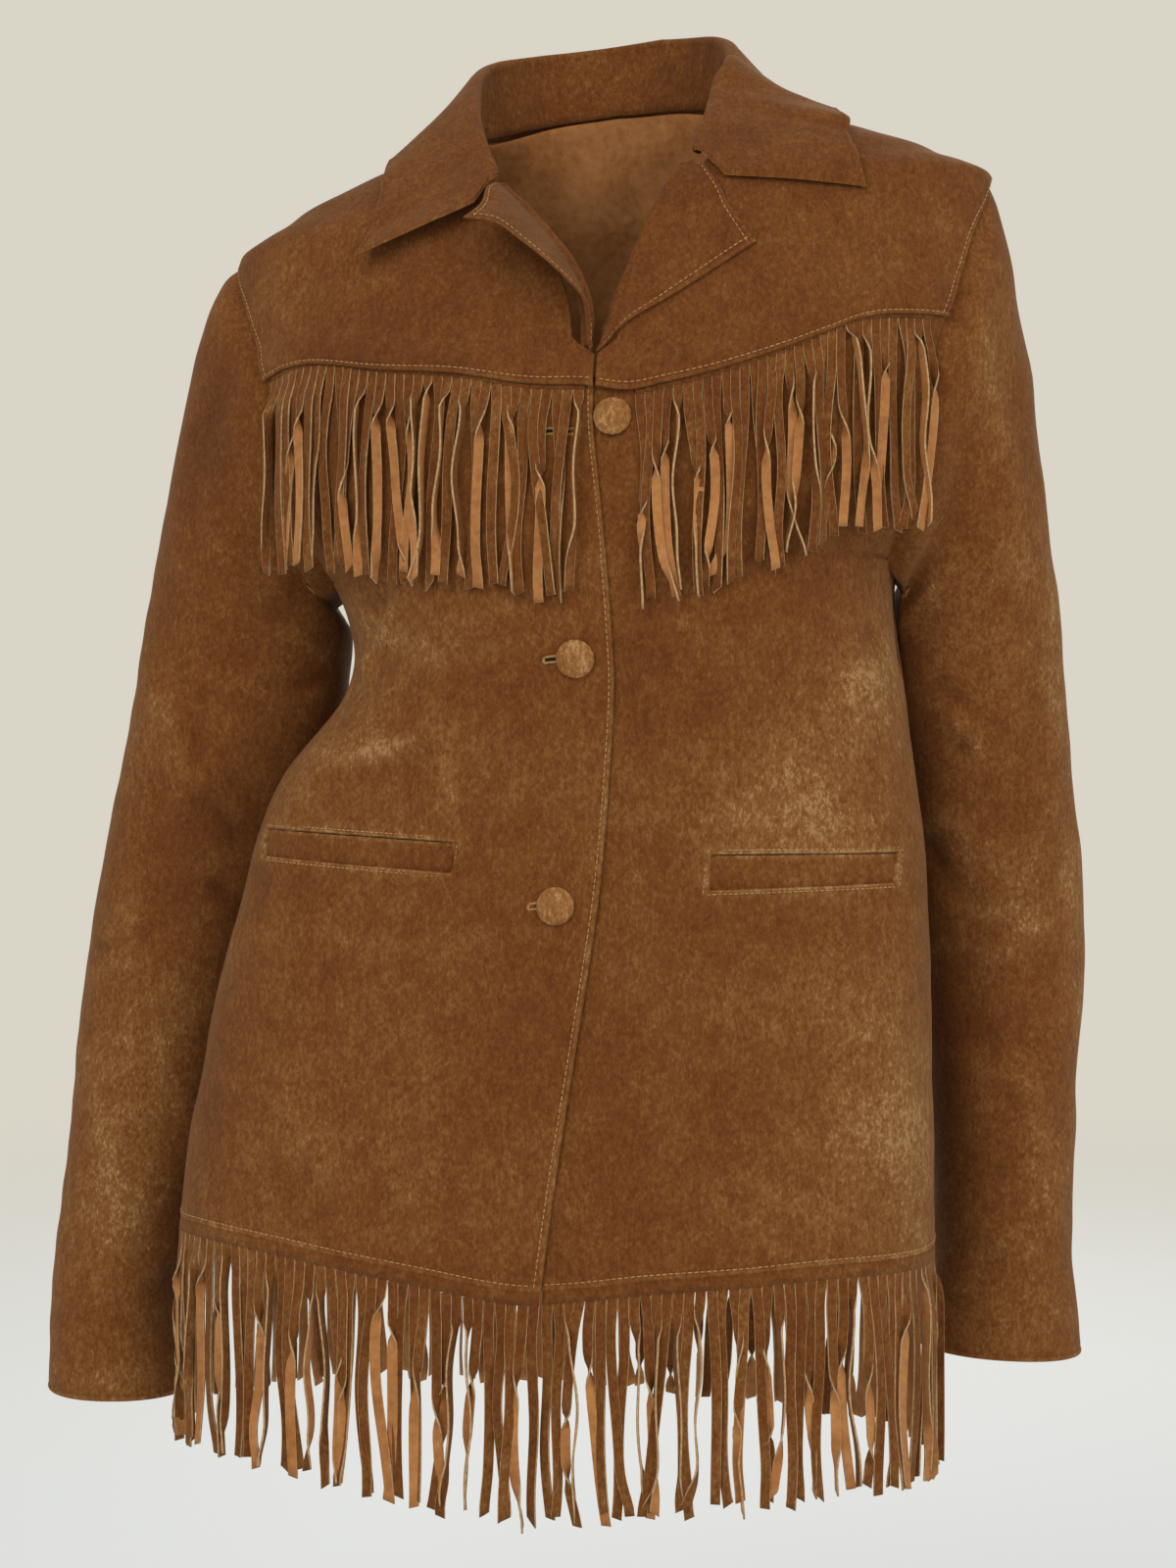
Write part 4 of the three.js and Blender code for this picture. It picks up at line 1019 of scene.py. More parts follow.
# Brushed places on the sleeves, with painted light: the narrow pale strips down the sleeves are painted
# sheen, and the broad lighter and darker patches that even out their brightness are painted light and painted
# shade.
SLEEVE_NAP_AND_PAINTED_LIGHT = [
    (-280, -470, 12, 60, -4, 0.10), (-250, -330, 14, 60, -8, 0.07), (-230, -440, 26, 8, -4, 0.12),
    (-290, -600, 10, 60, 0, 0.08), (-200, -330, 20, 12, 10, 0.10), (-280, -690, 50, 70, 0, 0.15),
    (-236, -190, 34, 60, -8, -0.12), (-285, -560, 40, 130, 4, 0.05), (-262, -560, 34, 60, 0, 0.06),
    (242, -440, 34, 80, 0, 0.11),
    (246, -640, 32, 70, 0, 0.07),
    (272, -330, 10, 90, 5, 0.16), (286, -470, 10, 60, 2, 0.16), (222, -150, 12, 50, 6, 0.10),
    (246, -466, 20, 8, -28, 0.14), (260, -600, 20, 50, 8, 0.10), (214, -360, 14, 10, 0, 0.10),
    (240, -690, 40, 20, 0, 0.06), (-282, -740, 44, 8, 0, 0.07), (244, -716, 44, 8, 0, 0.07),
]


def outside(points):
    """How far points stand outside the worn form, and which way out is."""
    def measure(p):
        level = p[..., 2]
        for _ in range(4):
            middle, left, right, front, rear, tilt, left_side, right_side = ring(level)
            u = (p[..., 0] - middle) * math.cos(TURN) - p[..., 1] * math.sin(TURN)
            level = p[..., 2] - tilt * u
        across = np.abs(u / np.where(u < 0, left, right)) ** ROUND
        forward = np.where(u < 0, left_side, right_side) * np.minimum(across, 1)
        w = (p[..., 0] - middle) * math.sin(TURN) + p[..., 1] * math.cos(TURN) - forward
        along = np.abs(w / np.where(w < 0, front, rear)) ** ROUND
        return (across + along) ** (1 / ROUND) - 1

    here = measure(points)
    slope = np.stack([(measure(points + 0.5 * axis) - here) / 0.5 for axis in np.eye(3)], -1)
    steep = np.linalg.norm(slope, axis=-1)
    return here / steep, slope / steep[..., None]


def rest_outside(points, clearance, tries=8):
    """Moves points out until they clear the worn form."""
    for _ in range(tries):
        distance, out = outside(points)
        points = points + out * np.maximum(clearance - distance, 0)[..., None]
    return points


def sleeve_tube(side):
    """Rings of points from the armhole to the cuff, and the share of the turn at each point."""
    turns = np.arange(SLEEVE_SIDES) * 2 * math.pi / SLEEVE_SIDES
    level = mix(ARMPIT, SHOULDER, (1 + np.cos(turns)) / 2)
    front = side_angle(side, level)
    angle = np.where(turns <= math.pi, front, side * math.pi - front)
    outward = side * np.array([math.cos(TURN), -math.sin(TURN), 0])
    hole = on_body(angle, level) + HOLE_GAP * outward
    rings = [on_body(angle, level, -1.7) - 1.6 * outward]
    for i, (ox, oz, ix, iz, y, depth) in enumerate(SLEEVE[side]):
        across = (1 + power(np.cos(turns), 0.92)) / 2
        forward = y - depth * power(np.sin(turns), 0.92)
        section = np.stack([mix(ix, ox, across), forward, mix(iz, oz, across)], -1)
        hold = HOLE_HOLD[i] if i < len(HOLE_HOLD) else 0
        carried = hole + np.array([side * HEAD_STEP[0], 0, HEAD_STEP[1]]) * (i + 1)
        rings.append(rest_outside(mix(section, carried, hold), SLEEVE_CLEAR))
    keys = np.arange(len(rings))[:, None]
    course = curve(np.concatenate([keys, np.stack(rings).reshape(len(rings), -1)], 1))
    lengthwise = np.concatenate([np.linspace(0, 1, 14)[:-1], 1 + 11 * steps(650, 4.0, end=True)])
    tube = np.moveaxis(course(lengthwise), 0, -1).reshape(len(lengthwise), SLEEVE_SIDES, 3)
    tube[14:] = rest_outside(tube[14:], SLEEVE_CLEAR - 0.8, tries=3)
    return tube


for side, name in ((1, "left"), (-1, "right")):
    base = sleeve_tube(side)
    if side < 0:
        base = base[:, ::-1]
    normals = normals_of(base, wrap=True)
    base = base + normals * WALL * smooth(np.arange(len(base)) / 13, 0.05, 0.8)[:, None, None]
    from_hole, from_cuff = edge_distance(base, 0)
    fold = 1.4 * creases(base, normals, SLEEVE_CREASES[side]) + waves(base, 1.1, 12 + side)
    fold = fold * smooth(from_hole, 4, 30) * smooth(from_cuff, 6, 30)
    # Crease ridges are painted lighter and troughs darker: painted highlight and painted shade.
    nap_and_painted_light = 0.5 + np.clip(fold * 0.04, -0.14, 0.14) + patches(base, SLEEVE_NAP_AND_PAINTED_LIGHT)
    grid, nap_and_painted_light, rim = dress(base, normals, fold, [(from_cuff, True), (from_hole, False)], nap_and_painted_light)
    sleeve = cloth(f"suede_sleeve_{name}", grid, nap_and_painted_light, wrap=True, rim=rim)
    fit(sleeve, f"sleeve_{name}")

# Lapels.
# The facing of each front, of which only the turned-back part is seen. It comes from inside, rolls over
# the front edge and lies on the yoke, topstitched along its free edges.

# Radius of the roll, how far the lapel lies off the yoke, the facing inside the roll, and the shares of the
# neckline between which it rolls
FOLD = 3.1
LAY = WALL + GAP + SLACK
FACING = 5
ROLL_FROM = {1: 0.15, -1: 0.112}
ROLL_TO = GORGE_SHARE - 0.012
# Free edge, then top edge, each as share, x, y, z
LAPEL = {
    1: (
        [(0, 1.8, -112, -154.5), (0.08, 7, -113, -149), (0.2, 13.1, -110, -142.5), (0.3, 20.6, -109, -136.5),
         (0.5, 40, -107, -125.6), (0.7, 59.7, -103, -113.6), (0.88, 77.4, -99, -101.9),
         (1, 89.3, -96, -93.8)],
        [(0, 57, -73, -41), (0.3, 69, -84, -57.5), (0.5, 75, -88, -71.5), (0.8, 83.5, -93, -84.6),
         (1, 89.3, -96, -93.8)],
    ),
    -1: (
        [(0, -1.5, -114, -154), (0.15, -2, -119, -136.4), (0.28, -5.1, -125, -126.6),
         (0.4, -12, -128, -119.3),
         (0.55, -25.2, -128, -107), (0.7, -39.1, -124, -95.6), (0.85, -54.2, -118, -84.1),
         (1, -72, -112, -80)],
        [(0, -55, -70, -50), (0.35, -60, -84, -56), (0.7, -63, -98, -68.5), (1, -72, -112, -80)],
    ),
}


def lapel_leaf(side):
    """Rows up the roll, columns from inside the front round the roll and out to the free edge."""
    free, top = (curve(rows) for rows in LAPEL[side])
    line = neckline(side)
    v = steps(130, 1.8, end=True)
    at = [line(mix(ROLL_FROM[side], ROLL_TO, np.clip(v + d, 0, 1))) for d in (-0.02, 0, 0.02)]
    along = unit(on_body(at[2][:, 0], at[2][:, 1]) - on_body(at[0][:, 0], at[0][:, 1]))
    angle, level = at[1][:, 0], at[1][:, 1]
    out = facing(angle, level)
    open_way = unit(np.cross(out, along) * side)
    axis = on_body(angle, level, yoke_lift(from_middle(angle, level), level) - WALL / 2)
    fold = (FOLD * mix(0.3, 1, smooth(v, 0, 0.16)))[:, None]

    def around(turn):
        return axis + (open_way * math.cos(turn) + out * math.sin(turn)) * fold

    columns = [around(math.radians(-90)) - open_way * FACING * d for d in (1, 0.5)]
    columns += [around(math.radians(turn)) for turn in np.linspace(-90, 90, 15)]
    start = columns[-1]
    edge = free(v).T
    tip = top(np.array([1.0])).T
    leaf = steps(60, 1.9, end=True)[1:]
    for share in leaf:
        low = mix(start, edge, share)
        bow = (top(np.array([share])).T - mix(start, tip, share)) * (v**3)[:, None]
        columns.append(low + bow)
    grid = np.stack(columns, 1)
    lain = grid[:, 17:]
    grid[:, 17:] = rest_outside(lain, LAY + yoke_lift(lain[..., 0], lain[..., 2]))
    return grid


LAPEL_PATCHES = [(-30, -90, 14, 30, -20, 0.06), (50, -90, 24, 20, 30, 0.10), (-50, -100, 14, 10, 30, 0.05)]
for side, name in ((1, "left"), (-1, "right")):
    base = lapel_leaf(side)
    normals = normals_of(base) * side
    _, from_free = edge_distance(base, 1)
    _, from_top = edge_distance(base, 0)
    fold = waves(base, 0.35, 21)
    # Painted shade: the lapels are set darker than plain hide because they face up into more light.
    nap_and_painted_light = 0.37 + patches(base, LAPEL_PATCHES)
    grid, nap_and_painted_light, rim = dress(base, normals, fold, [(from_free, True), (from_top, True)], nap_and_painted_light)
    seat = base + normals * (fold - STITCH_SINK)[..., None]
    column = stitched_line(from_free[30])
    row = stitched_line(from_top[:, 34])
    note_stitches(seat[3:-6, column], normals[3:-6, column])
    note_stitches(seat[row, 18:-6], normals[row, 18:-6])
    lapel = cloth(f"suede_lapel_{name}", grid, nap_and_painted_light, rim=rim, materials=[SUEDE] * 3, mirrored=side < 0)
    fit(lapel, f"lapel_{name}")

# Collar.
# Stand and leaf in one folded piece, sewn into the neck seam and turned down over it. Its leaf ends in
# a point on each side above the lapel's notch, and is topstitched all round.

# Radius of the fold, where across the leaf the notch's corner lies, and how closely the end follows it
COLLAR_FOLD = 3.4
NOTCH_AT = 0.2
NOTCH_HOLD = 0.85
# By share of the way round: x, y and z of the fold, then of the leaf's edge
collar_line = curve([
    (0, 57, -74, -38, 150, -84, -61), (0.1, 66, -47, -4, 141, -58, -35), (0.2, 71, -10, 36, 134, -12, -4),
    (0.3, 63, 25, 62, 118, 45, 12), (0.4, 42, 60, 70, 75, 100, 20), (0.5, 14, 76, 70, 18, 112, 8),
    (0.6, -30, 70, 63, -62, 106, -2), (0.7, -58, 48, 52, -108, 62, -16), (0.8, -70, 18, 34, -116, 15, -22),
    (0.9, -67, -30, -6, -121, -37, -57), (1, -55, -68, -47, -136, -70, -93),
])
NOTCH = {1: (72, -86, -55.5), -1: (-66, -82, -66)}


def collar_leaf():
    """Rows from the image-right gorge round the neck to the other, columns from the seam over the roll."""
    s = steps(520, 2.3, start=True, end=True)
    roll_to_edge = collar_line(s).T
    degrees = mix(GORGE + 2, 360 - GORGE - 2, s)
    folded = np.where(degrees > 180, 360 - degrees, degrees)

    def seam_at(d):
        return on_body(np.radians(d), neck_seam(np.where(d > 180, 360 - d, d))[0])

    along = unit(seam_at(degrees + 1) - seam_at(degrees - 1))
    out = facing(np.radians(degrees), neck_seam(folded)[0])
    hole = unit(np.cross(out, along))
    foot = seam_at(degrees) + hole * 0.6 - out * WALL
    roll = rest_outside(roll_to_edge[:, :3], COLLAR_FOLD + 0.4)
    edge = rest_outside(roll_to_edge[:, 3:], LAY)
    to_foot, to_edge = foot - roll, edge - roll
    radius = np.minimum(COLLAR_FOLD, np.linalg.norm(to_foot, axis=-1) * 0.4)[:, None]
    bisector = unit(unit(to_foot) + unit(to_edge))
    sideways = unit(to_edge - bisector * (to_edge * bisector).sum(-1, keepdims=True))

    def turn(inward, across):
        return roll + bisector * inward * radius + sideways * across * radius

    stand_top, leaf_top = turn(1.1, -1), turn(1.1, 1)
    columns = [mix(foot, stand_top, share) for share in np.linspace(0, 1, 9)]
    for degree in np.linspace(-80, 80, 15):
        a = math.radians(degree)
        columns.append(turn(1.1 * (1 - math.cos(a)) ** 1.1, math.sin(a)))
    ends = np.clip(1 - np.minimum(s, 1 - s) / 0.06, 0, 1)[:, None]
    notch = np.where((s < 0.5)[:, None], NOTCH[1], NOTCH[-1])
    for share in steps(88, 2.4, end=True):
        place = mix(leaf_top, edge, share)
        if share < NOTCH_AT:
            end = mix(leaf_top, notch, share / NOTCH_AT)
        else:
            end = mix(notch, edge, (share - NOTCH_AT) / (1 - NOTCH_AT))
        columns.append(mix(place, end, ends * NOTCH_HOLD))
    grid = np.stack(columns, 1)
    grid[:, 24:] = rest_outside(grid[:, 24:], LAY)
    return grid


base = collar_leaf()
normals = -normals_of(base)
_, from_outer = edge_distance(base, 1)
from_right, from_left = edge_distance(base, 0)
fold = waves(base, 0.5, 31) * smooth(from_outer, 3, 20)
# Painted shade: the collar is set darker than plain hide because it faces up into more light.
nap_and_painted_light = 0.42 + patches(base, [(-100, -40, 20, 30, 30, 0.05), (110, -40, 30, 14, 20, 0.08)])
grid, nap_and_painted_light, rim = dress(base, normals, fold, [(from_outer, True), (from_right, True), (from_left, True)], nap_and_painted_light)
seat = base + normals * (fold - STITCH_SINK)[..., None]
column = stitched_line(from_outer[60])
note_stitches(seat[7:-7, column], normals[7:-7, column])
for row in (stitched_line(from_right[:, 40]), stitched_line(from_left[:, 40])):
    note_stitches(seat[row, 26:-7], normals[row, 26:-7])
collar = cloth("suede_collar", grid, nap_and_painted_light, rim=rim, materials=[SUEDE] * 3, mirrored=True)
fit(collar, "collar")

# Pocket welts.
# A narrow band set into each pocket opening, sewn in along its lower edge and open along its upper one,
# where its folded edge is rubbed.
WELT_WALL = 1.2
WELT_SUEDE = suede("welt_suede", 1.0, 0.02)
for side, name in ((1, "left"), (-1, "right")):
    low, high, top, bottom = WELT[side]
    across = steps(high - low, 1.4, start=True, end=True)[None, :]
    rise = np.concatenate([np.linspace(0, 0.8, 20)[:-1], np.linspace(0.8, 1, 16)])[:, None]
    u = mix(low + 0.3, high - 0.3, across) + 0 * rise
    share = (u - low) / (high - low)
    level = mix(mix(*bottom, share) - 0.6, mix(*top, share) - 0.9, rise)
    lift = mix(-1.4, -0.1, smooth(rise, 0, 0.3)) - 0.9 * (1 - smooth(np.minimum(u - low, high - u), 0.3, 4))
    base = on_body(front_angle(u, level), level, lift)
    normals = normals_of(base)
    _, from_top = edge_distance(base, 0)
    fold = waves(base, 0.25, 41) * smooth(from_top, 0, 3)
    fold = fold - 0.35 * np.exp(-(((from_top - 3.2) / 0.5) ** 2))
    nap_and_painted_light = 0.47 + 0.16 * np.exp(-((from_top / 2.6) ** 2))
    grid, nap_and_painted_light, rim = dress(base, normals, fold, [(from_top, False)], nap_and_painted_light)
    looks = [WELT_SUEDE, GRAIN, WELT_SUEDE]
    welt = cloth(f"suede_welt_{name}", grid, nap_and_painted_light, rim=rim, wall=WELT_WALL, materials=looks)
    fit(welt, f"welt_{name}")

# Buttons.
# Three domed metal shells covered with the same suede, which is drawn in at the rim. Each is sewn on by a
# foot beneath it. The top one is seen on its own front, and the other two through their buttonholes.
BUTTON_RADIUS = 10.5
BUTTON_HEIGHT = 4
BUTTON_SEAT = 0.25
# Shares of the button's height below and above the rim, and of its radius at the foot
BUTTON_RIM = 0.32
BUTTON_CROWN = 0.68
BUTTON_FOOT = 0.6
BUTTON_GATHERS = 17
BUTTON_SUEDE = suede("button_suede", 1.22, 0.28)
# Name, distance from the middle, level, and how much further out or in it is seated
BUTTONS = (("top", 16.5, -191.0, -1), ("middle", -2.0, -322.0, 0.4), ("bottom", -1.5, -457.0, -0.4))
for name, u, level, lift in BUTTONS:
    bpy.ops.object.select_all(action="DESELECT")
    bpy.ops.mesh.primitive_uv_sphere_add(segments=64, ring_count=40, radius=1)
    button = bpy.context.object
    button.name = f"covered_button_{name}"
    count = len(button.data.vertices)
    co = np.empty(count * 3, np.float32)
    button.data.vertices.foreach_get("co", co)
    co = co.reshape(-1, 3).astype(float)
    high = co[:, 2] > 0
    flat = np.hypot(co[:, 0], co[:, 1])
    crown = BUTTON_RIM + BUTTON_CROWN * np.abs(co[:, 2]) ** 1.15
    co[:, 2] = np.where(high, crown, BUTTON_RIM + BUTTON_RIM * co[:, 2])
    co[:, :2] *= BUTTON_RADIUS * np.where(high, 1, BUTTON_FOOT + 0.4 * flat**3)[:, None]
    turn = np.arctan2(co[:, 1], co[:, 0])
    tuck = 0.12 * np.sin(turn * BUTTON_GATHERS) * np.exp(-((co[:, 2] - 0.3) / 0.2) ** 2)
    co[:, :2] *= (1 + tuck / BUTTON_RADIUS)[:, None]
    co[:, 2] *= BUTTON_HEIGHT
    angle = front_angle(u, level)
    axis = facing(angle, level)
    right = unit(np.cross([0.0, 0.0, 1.0], axis) * -1)
    up = np.cross(axis, right)
    at = on_body(angle, level, lift + GAP + BUTTON_SEAT)
    co = at + co[:, :1] * right + co[:, 1:2] * up + co[:, 2:] * axis
    button.data.vertices.foreach_set("co", (co * MM).astype(np.float32).ravel())
    button.data.materials.append(BUTTON_SUEDE)
    button.data.shade_smooth()
    nap_and_painted_light = button.data.attributes.new("nap_and_painted_light", "FLOAT", "POINT")
    nap_and_painted_light.data.foreach_set("value", np.full(count, 0.55, np.float32))
    bpy.ops.object.mode_set(mode="EDIT")
    bpy.ops.mesh.select_all(action="SELECT")
    bpy.ops.mesh.normals_make_consistent(inside=False)
    bpy.ops.object.mode_set(mode="OBJECT")
    fit(button, f"button_{name}")

# Buttonholes.
# One beside each button, in the front that laps over: a slit, bound with thread along both sides and
# barred at its outer end. The cloth round it is rubbed.

# Name, both ends of the slit as distances from the middle, and level
HOLES = (("top", -25, -5, -197.5), ("middle", -19, -2, -322.5), ("bottom", -16, -1.5, -457.5))
# Half width of the slit, and place and half length of the stitches that bind and bar it
HOLE_WIDE = 1.0
BINDING_OUT = 0.55
BINDING_HALF = 0.9
BAR_HALF = 2.1


def cut_edge(name):
    """The raw edge left by the knife, paler than either side."""
    hide = Finish(name)
    color = hide.ramp(hide.noise(420, 2), [(0.3, (0.30, 0.17, 0.075)), (0.7, (0.50, 0.33, 0.175))])
    return hide.finish(color, hide.noise(900, 2), 0.3, 0.0003, 0.85, 0.1)


# Each slit is a thin near-black sheet laid on the front over the opening: painted shade.
SLIT_PAINTED_SHADE = cut_edge("slit_shadow")
SLIT_PAINTED_SHADE.node_tree.nodes["Principled BSDF"].inputs["Roughness"].default_value = 1
for element in SLIT_PAINTED_SHADE.node_tree.nodes["Color Ramp"].color_ramp.elements:
    element.color = (0.012, 0.006, 0.003, 1)
for name, low, high, level in HOLES:
    share = np.linspace(0, 1, 25)[None, :]
    around = np.linspace(0, 1, 7)[:, None]
    u = mix(low, high, share) + 0 * around
    gape = HOLE_WIDE * np.sin(math.pi * np.clip(share * 1.05, 0, 1)) ** 0.5 * (1.15 - 0.3 * share)
    height = level + (around - 0.5) * 2 * gape + 0.5 * np.sin(5 * share)
    angle = front_angle(u, height)
    grid = on_body(angle, height, 0.34 + 0 * u)
    slit = cloth(f"buttonhole_{name}", grid, np.full(u.shape, 0.3), wall=0.6, materials=[SLIT_PAINTED_SHADE] * 3)
    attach(slit, "root")
    u = np.linspace(low, high, 24)
    for edge in (-1, 1):
        line_level = level + edge * (HOLE_WIDE + BINDING_OUT) + 0.5 * np.sin(5 * np.linspace(0, 1, 24))
        for at, height in zip(u, line_level):
            ends = np.array([height - BINDING_HALF, height + BINDING_HALF])
            angle = front_angle(np.array([at, at + 0.15]), ends)
            note_stitches(on_body(angle, ends, 0.42), facing(angle, ends), 1.8)
    for at in (low - 0.9, low - 0.2):
        ends = np.array([level - BAR_HALF, level + BAR_HALF])
        angle = front_angle(np.full(2, at), ends)
        note_stitches(on_body(angle, ends, 0.5), facing(angle, ends), 4.2)

# Fringe.
# Strips of suede cut into strands: one sewn beneath each yoke, and one to each panel's hem. Strands are
# dark suede in front, smooth orange-tan behind and pale where cut; they twist, bow and cross.
STRAND_SUEDE = suede("strand_suede", 0.98)
STRAND_REVERSE = grain_side("strand_reverse", 1.14)
EDGE = cut_edge("cut_edge")
# A strand's share of the pitch, how much further the outer ones stand off by a sleeve, and the lengths at
# hem and yoke
STRAND_SHARE = 0.95
SLEEVE_OFF = 5
FRINGE_LENGTH = 118
YOKE_STRANDS = 114
# How far the hem strip reaches below and above its seam line, and how far inside the panel it lies
STRIP_HEIGHT = 7
STRIP_UP = 0.8
STRIP_IN = STRAND_THICK + 0.2
STRAND_RINGS = 26
# Points across a strand's face, and how kinds of strand share out: flat, then turned over, then on edge
ACROSS = np.array([-1, -0.94, 0, 0.94, 1])
FLAT_TO = 0.46
TURNED_TO = 0.80
# Looks of the faces round a strip and a strand: 0 suede, 1 reverse and 2 cut edge
STRIP_LOOKS = [2, 0, 2, 1]
STRAND_LOOKS = [2, 0, 0, 2, 2, 2, 1, 1, 2, 2]


def run_along(line):
    """Millimetres from a line's start to each of its points."""
    return np.concatenate([[0], np.cumsum(np.linalg.norm(np.diff(line, axis=0), axis=1))])


def copied_faces(faces, count, size):
    """The faces of one small part, for each of its copies in a list of points."""
    return (faces + size * np.arange(count)[:, None, None]).reshape(-1, 4)


def fringe_strip(seam, stations, above, below):
    """The uncut strip over the strands, four points round at each station and closed at both ends."""
    angle, level, lift = seam(stations)
    corners = [(-below, 0), (-below, STRAND_THICK), (above, STRAND_THICK), (above, 0)]
    strip = np.stack([on_body(angle, level + rise, lift + depth) for rise, depth in corners], 1)
    last = (len(strip) - 1) * len(corners)
    ends = [[0, 1, 2, 3], [last + 3, last + 2, last + 1, last]]
    faces = np.concatenate([grid_faces(len(strip), len(corners), wrap=True, flip=True), ends])
    return strip.reshape(-1, 3), faces, STRIP_LOOKS * (len(strip) - 1) + [2, 2]


def strand_habits(seed, count, length):
    """How each strand hangs: flat, turned to show its reverse or on edge, and how it sways and waves."""
    chance = np.random.default_rng(seed)
    habit = SimpleNamespace(length=length * chance.uniform(0.96, 1.03, count))
    kind = chance.random(count)
    flat = kind < FLAT_TO
    turned = (kind >= FLAT_TO) & (kind < TURNED_TO)
    edgewise = kind >= TURNED_TO
    habit.hand = np.where(chance.random(count) < 0.5, -1, 1)
    little = chance.uniform(-30, 30, count)
    upright = chance.uniform(72, 104, count)
    habit.first_turn = np.where(flat, little, np.where(turned, 180, upright))
    habit.begin = np.where(edgewise, chance.uniform(0.0, 0.12, count), chance.uniform(0.05, 0.5, count))
    habit.over = np.where(edgewise, chance.uniform(0.06, 0.14, count), chance.uniform(0.14, 0.34, count))
    again = chance.random(count) < 0.45
    turned_again = chance.choice([-180, -90, 90], count)
    edge_again = chance.choice([-85, 85], count)
    habit.second_turn = np.where(again & ~flat, np.where(turned, turned_again, edge_again), 0)
    habit.second = chance.uniform(0.55, 0.85, count)
    habit.sway = chance.normal(0, 2.6, count) * np.where(chance.random(count) < 0.25, 2.2, 1)
    habit.bow = chance.normal(0, 2.1, count)
    habit.beat = chance.uniform(0, 6.28, count)
    habit.wiggle = chance.uniform(0.5, 1.4, count)
    habit.tempo = np.where(edgewise, chance.uniform(8, 13, count), chance.uniform(5, 9, count))
    habit.layer = 1.5 * np.tile([0, 1, 2, 1], count // 4 + 1)[:count] + chance.uniform(0, 0.5, count)
    habit.curl = chance.normal(0, 1.3, count) * (chance.random(count) < 0.5)
    habit.tone = chance.uniform(0.42, 0.58, count)
    lean = np.cumsum(chance.normal(0, 1.6, count))
    habit.lean = lean - np.convolve(np.pad(lean, 4, mode="edge"), np.ones(9) / 9, "valid")
    habit.slant = chance.normal(0, 1.1, count)
    return habit


def hang_strands(root, along, out, half_width, habit, hangs):
    """Points round each strand, ring by ring from root to tip. Beneath a yoke they rest off the cloth."""
    pushed = np.zeros(root.shape)
    rings = []
    for share in np.linspace(0, 1, STRAND_RINGS + 1):
        twist = habit.first_turn * smooth(share, habit.begin, habit.begin + habit.over)
        twist = twist + habit.second_turn * smooth(share, habit.second, habit.second + 0.2)
        waver = np.radians(9) * np.sin(5 * share + habit.beat) * smooth(share, 0.05, 0.3)
        twist = habit.hand * np.radians(twist) + waver
        side = (habit.sway + habit.lean) * share**1.3 + habit.bow * np.sin(math.pi * share)
        side = side + habit.curl * smooth(share, 0.7, 1) ** 2 * 2
        side = side + habit.wiggle * np.sin(habit.tempo * share + habit.beat) * smooth(share, 0, 0.15)
        depth = 0.9 * habit.layer * smooth(share, 0.0, 0.25) + 0.6 * np.sin(3.4 * share + habit.beat) * share
        centre = root + along * side[:, None] + out * depth[:, None] + pushed
        centre[:, 2] = root[:, 2] - habit.length * share
        width = half_width * (1 - 0.05 * share)
        if not hangs:
            free = smooth(share, 0, 0.2)
            off = 1.2 + width * np.abs(np.sin(twist)) + 0.8 * habit.layer * free
            off = off + SLEEVE_OFF * smooth(np.abs(root[:, 0] - ring(root[:, 2])[0]), 155, 185) * free
            move = (rest_outside(centre, off, tries=3) - centre) * [1, 1, 0]
            pushed = pushed + move
            centre = centre + move
        wide = along * np.cos(twist)[:, None] + out * np.sin(twist)[:, None]
        thick = out * np.cos(twist)[:, None] - along * np.sin(twist)[:, None]
        cup = 0.35 * np.sin(habit.beat) * smooth(share, 0.05, 0.4)
        rings.append(np.stack([
            centre + wide * a * width + thick * (face * STRAND_THICK / 2 + (cup * (a * a - 0.4)))[:, None]
            for face in (1, -1) for a in face * ACROSS
        ], 1))
    strands = np.stack(rings, 1)
    strands[:, -1, :, 2] += habit.slant[:, None] * np.concatenate([ACROSS, ACROSS[::-1]])
    return strands


def fringe(name, node, seam, count, above, below, seed, hangs):
    """A strip and its strands. The seam gives angle, level and lift for shares along it."""
    fine = np.linspace(0, 1, 481)
    reach = run_along(on_body(*seam(fine)))
    ends = np.interp(np.linspace(0, reach[-1], count + 1), reach, fine)
    stations = np.interp(np.linspace(0, reach[-1], count * 4 + 1), reach, fine)
    strip, strip_faces, strip_looks = fringe_strip(seam, stations, above, below)

    def roots(shares):
        angle, level, lift = seam(shares)
        return on_body(angle, level - below, lift + STRAND_THICK / 2)

    middles = (ends[:-1] + ends[1:]) / 2
    angle, level, _ = seam(middles)
    along = unit((roots(ends[1:]) - roots(ends[:-1])) * [1, 1, 0])
    out = unit(facing(angle, level) * [1, 1, 0])
    half_width = reach[-1] / count * STRAND_SHARE / 2
    habit = strand_habits(seed, count, FRINGE_LENGTH if hangs else YOKE_STRANDS)
    strands = hang_strands(roots(middles), along, out, half_width, habit, hangs)
    columns = 2 * len(ACROSS)
    last = STRAND_RINGS * columns
    tip = [[last + 9 - i, last + 8 - i, last + 1 + i, last + i] for i in range(4)]
    one = np.concatenate([grid_faces(STRAND_RINGS + 1, columns, wrap=True, flip=True), tip])
    size = last + columns
    points = np.concatenate([strip, strands.reshape(-1, 3)])
    faces = np.concatenate([strip_faces, copied_faces(one, count, size) + len(strip)])
    looks = strip_looks + (STRAND_LOOKS * STRAND_RINGS + [2] * len(tip)) * count
    nap_and_painted_light = np.concatenate([np.full(len(strip), 0.5), np.repeat(habit.tone, size)])
    piece = mesh_object(name, points, faces, looks, [STRAND_SUEDE, STRAND_REVERSE, EDGE], nap_and_painted_light)
    fit(piece, node)
    return piece


